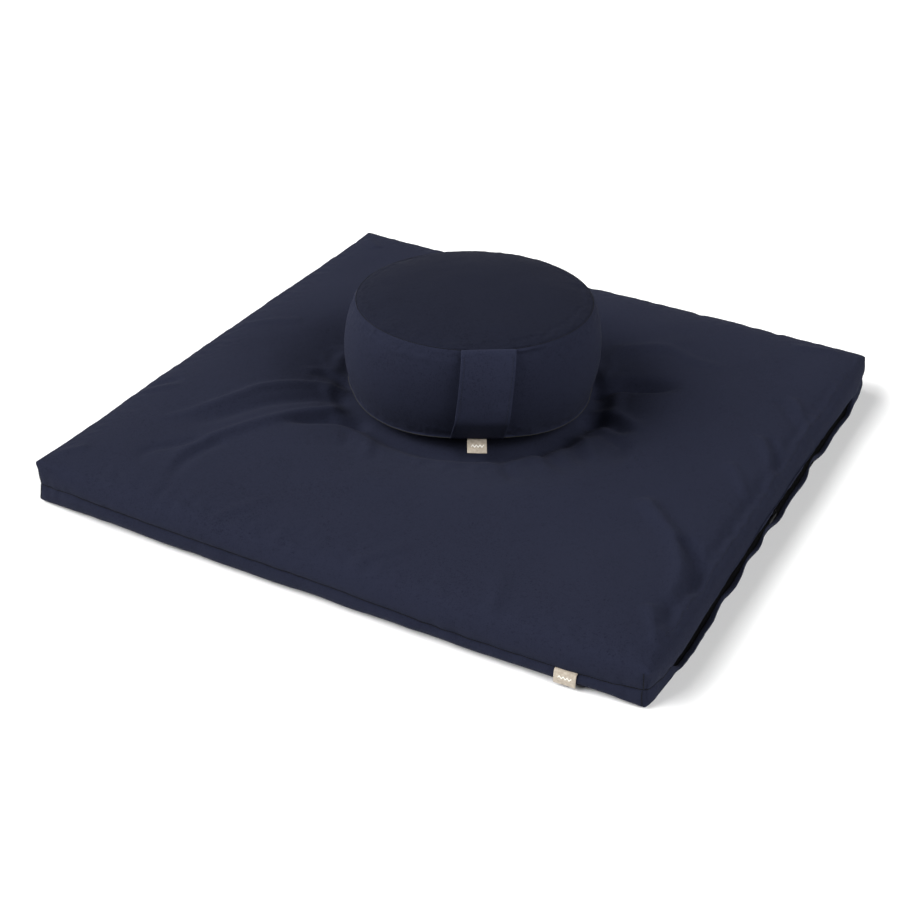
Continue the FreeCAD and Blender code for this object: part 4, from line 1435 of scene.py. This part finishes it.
MAT_TAG_PATH = [(-4.5, 0.0), (-2.0, -0.2), (-0.2, -1.6), (0.6, -5.0), (0.5, -11.0), (0.2, -17.0)]
points, faces, cloth = label_mesh(MAT_TAG_PATH, LABEL_W, mat_label_place)
tag = make_object("mat_tag", points * MM, faces, cloth * MM)
paint(tag, LABEL)
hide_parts("mat_label")
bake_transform(tag)


def cushion_label_place(across, out, up):
    return on_cushion(out, across, HANDLE_FOOT_TURN, up)


CUSHION_TAG_PATH, CUSHION_TAG_W = [(148.5, 17.8), (152.5, 17.4), (157.5, 14.6), (162.5, 10.6), (167.0, 7.6)], 23.5
points, faces, cloth = label_mesh(CUSHION_TAG_PATH, CUSHION_TAG_W, cushion_label_place)
cushion_tag = make_object("cushion_tag", points * MM, faces, cloth * MM)
dress(cushion_tag, LABEL, "round_cushion", "cushion_label")


# ------------------------------------------------------------------ floor, light and camera

floor_mesh = bpy.data.meshes.new("floor")
floor_mesh.from_pydata([(-6, -6, 0), (6, -6, 0), (6, 6, 0), (-6, 6, 0)], [], [(0, 1, 2, 3)])
floor = bpy.data.objects.new("floor", floor_mesh)
bpy.context.scene.collection.objects.link(floor)
floor_nodes = Nodes("pale_floor", (0.93, 0.93, 0.93))
floor_nodes.set(Base_Color=(0.93, 0.93, 0.93, 1), Roughness=0.9, Specular_IOR_Level=0.1)
paint(floor, floor_nodes.material)

scene = bpy.context.scene
scene.view_settings.view_transform = "Standard"
world = bpy.data.worlds.new("studio")
scene.world = world
world.use_nodes = True
sky = world.node_tree.nodes["Background"].inputs
sky["Color"].default_value = (1.0, 1.0, 1.0, 1)
sky["Strength"].default_value = 0.05


def broad_sun(name, azimuth, elevation, spread_angle, strength):
    """A very wide, soft source in the direction (azimuth from +X, elevation), in degrees."""
    light = bpy.data.lights.new(name, "SUN")
    light.angle = math.radians(spread_angle)
    light.energy = strength
    obj = bpy.data.objects.new(name, light)
    a, e = math.radians(azimuth), math.radians(elevation)
    toward = Vector((math.cos(a) * math.cos(e), math.sin(a) * math.cos(e), math.sin(e)))
    obj.rotation_euler = toward.to_track_quat("Z", "Y").to_euler()
    scene.collection.objects.link(obj)


broad_sun("left", 178, 35, 46, 1.7)
broad_sun("front_left", 222, 35, 46, 4.3)
broad_sun("right", 0, 36, 46, 3.0)

AZIMUTH, ELEVATION, ROLL = math.radians(26.94), math.radians(31.13), math.radians(1.78)
DISTANCE, SHIFT_X, SHIFT_Y, LENS = 2.150, -0.0357, -0.0114, 66.8
back = Vector((
    math.sin(AZIMUTH) * math.cos(ELEVATION), -math.cos(AZIMUTH) * math.cos(ELEVATION), math.sin(ELEVATION)
))
level_x = Vector((0, 0, 1)).cross(back).normalized()
level_y = back.cross(level_x)
right = math.cos(ROLL) * level_x + math.sin(ROLL) * level_y
up = -math.sin(ROLL) * level_x + math.cos(ROLL) * level_y
camera_data = bpy.data.cameras.new("camera")
camera_data.sensor_width = 36
camera_data.lens = LENS
camera = bpy.data.objects.new("camera", camera_data)
turn = Matrix((right, up, back)).transposed().to_4x4()
camera.matrix_world = Matrix.Translation(back * DISTANCE + right * SHIFT_X + up * SHIFT_Y) @ turn
scene.collection.objects.link(camera)
scene.camera = camera
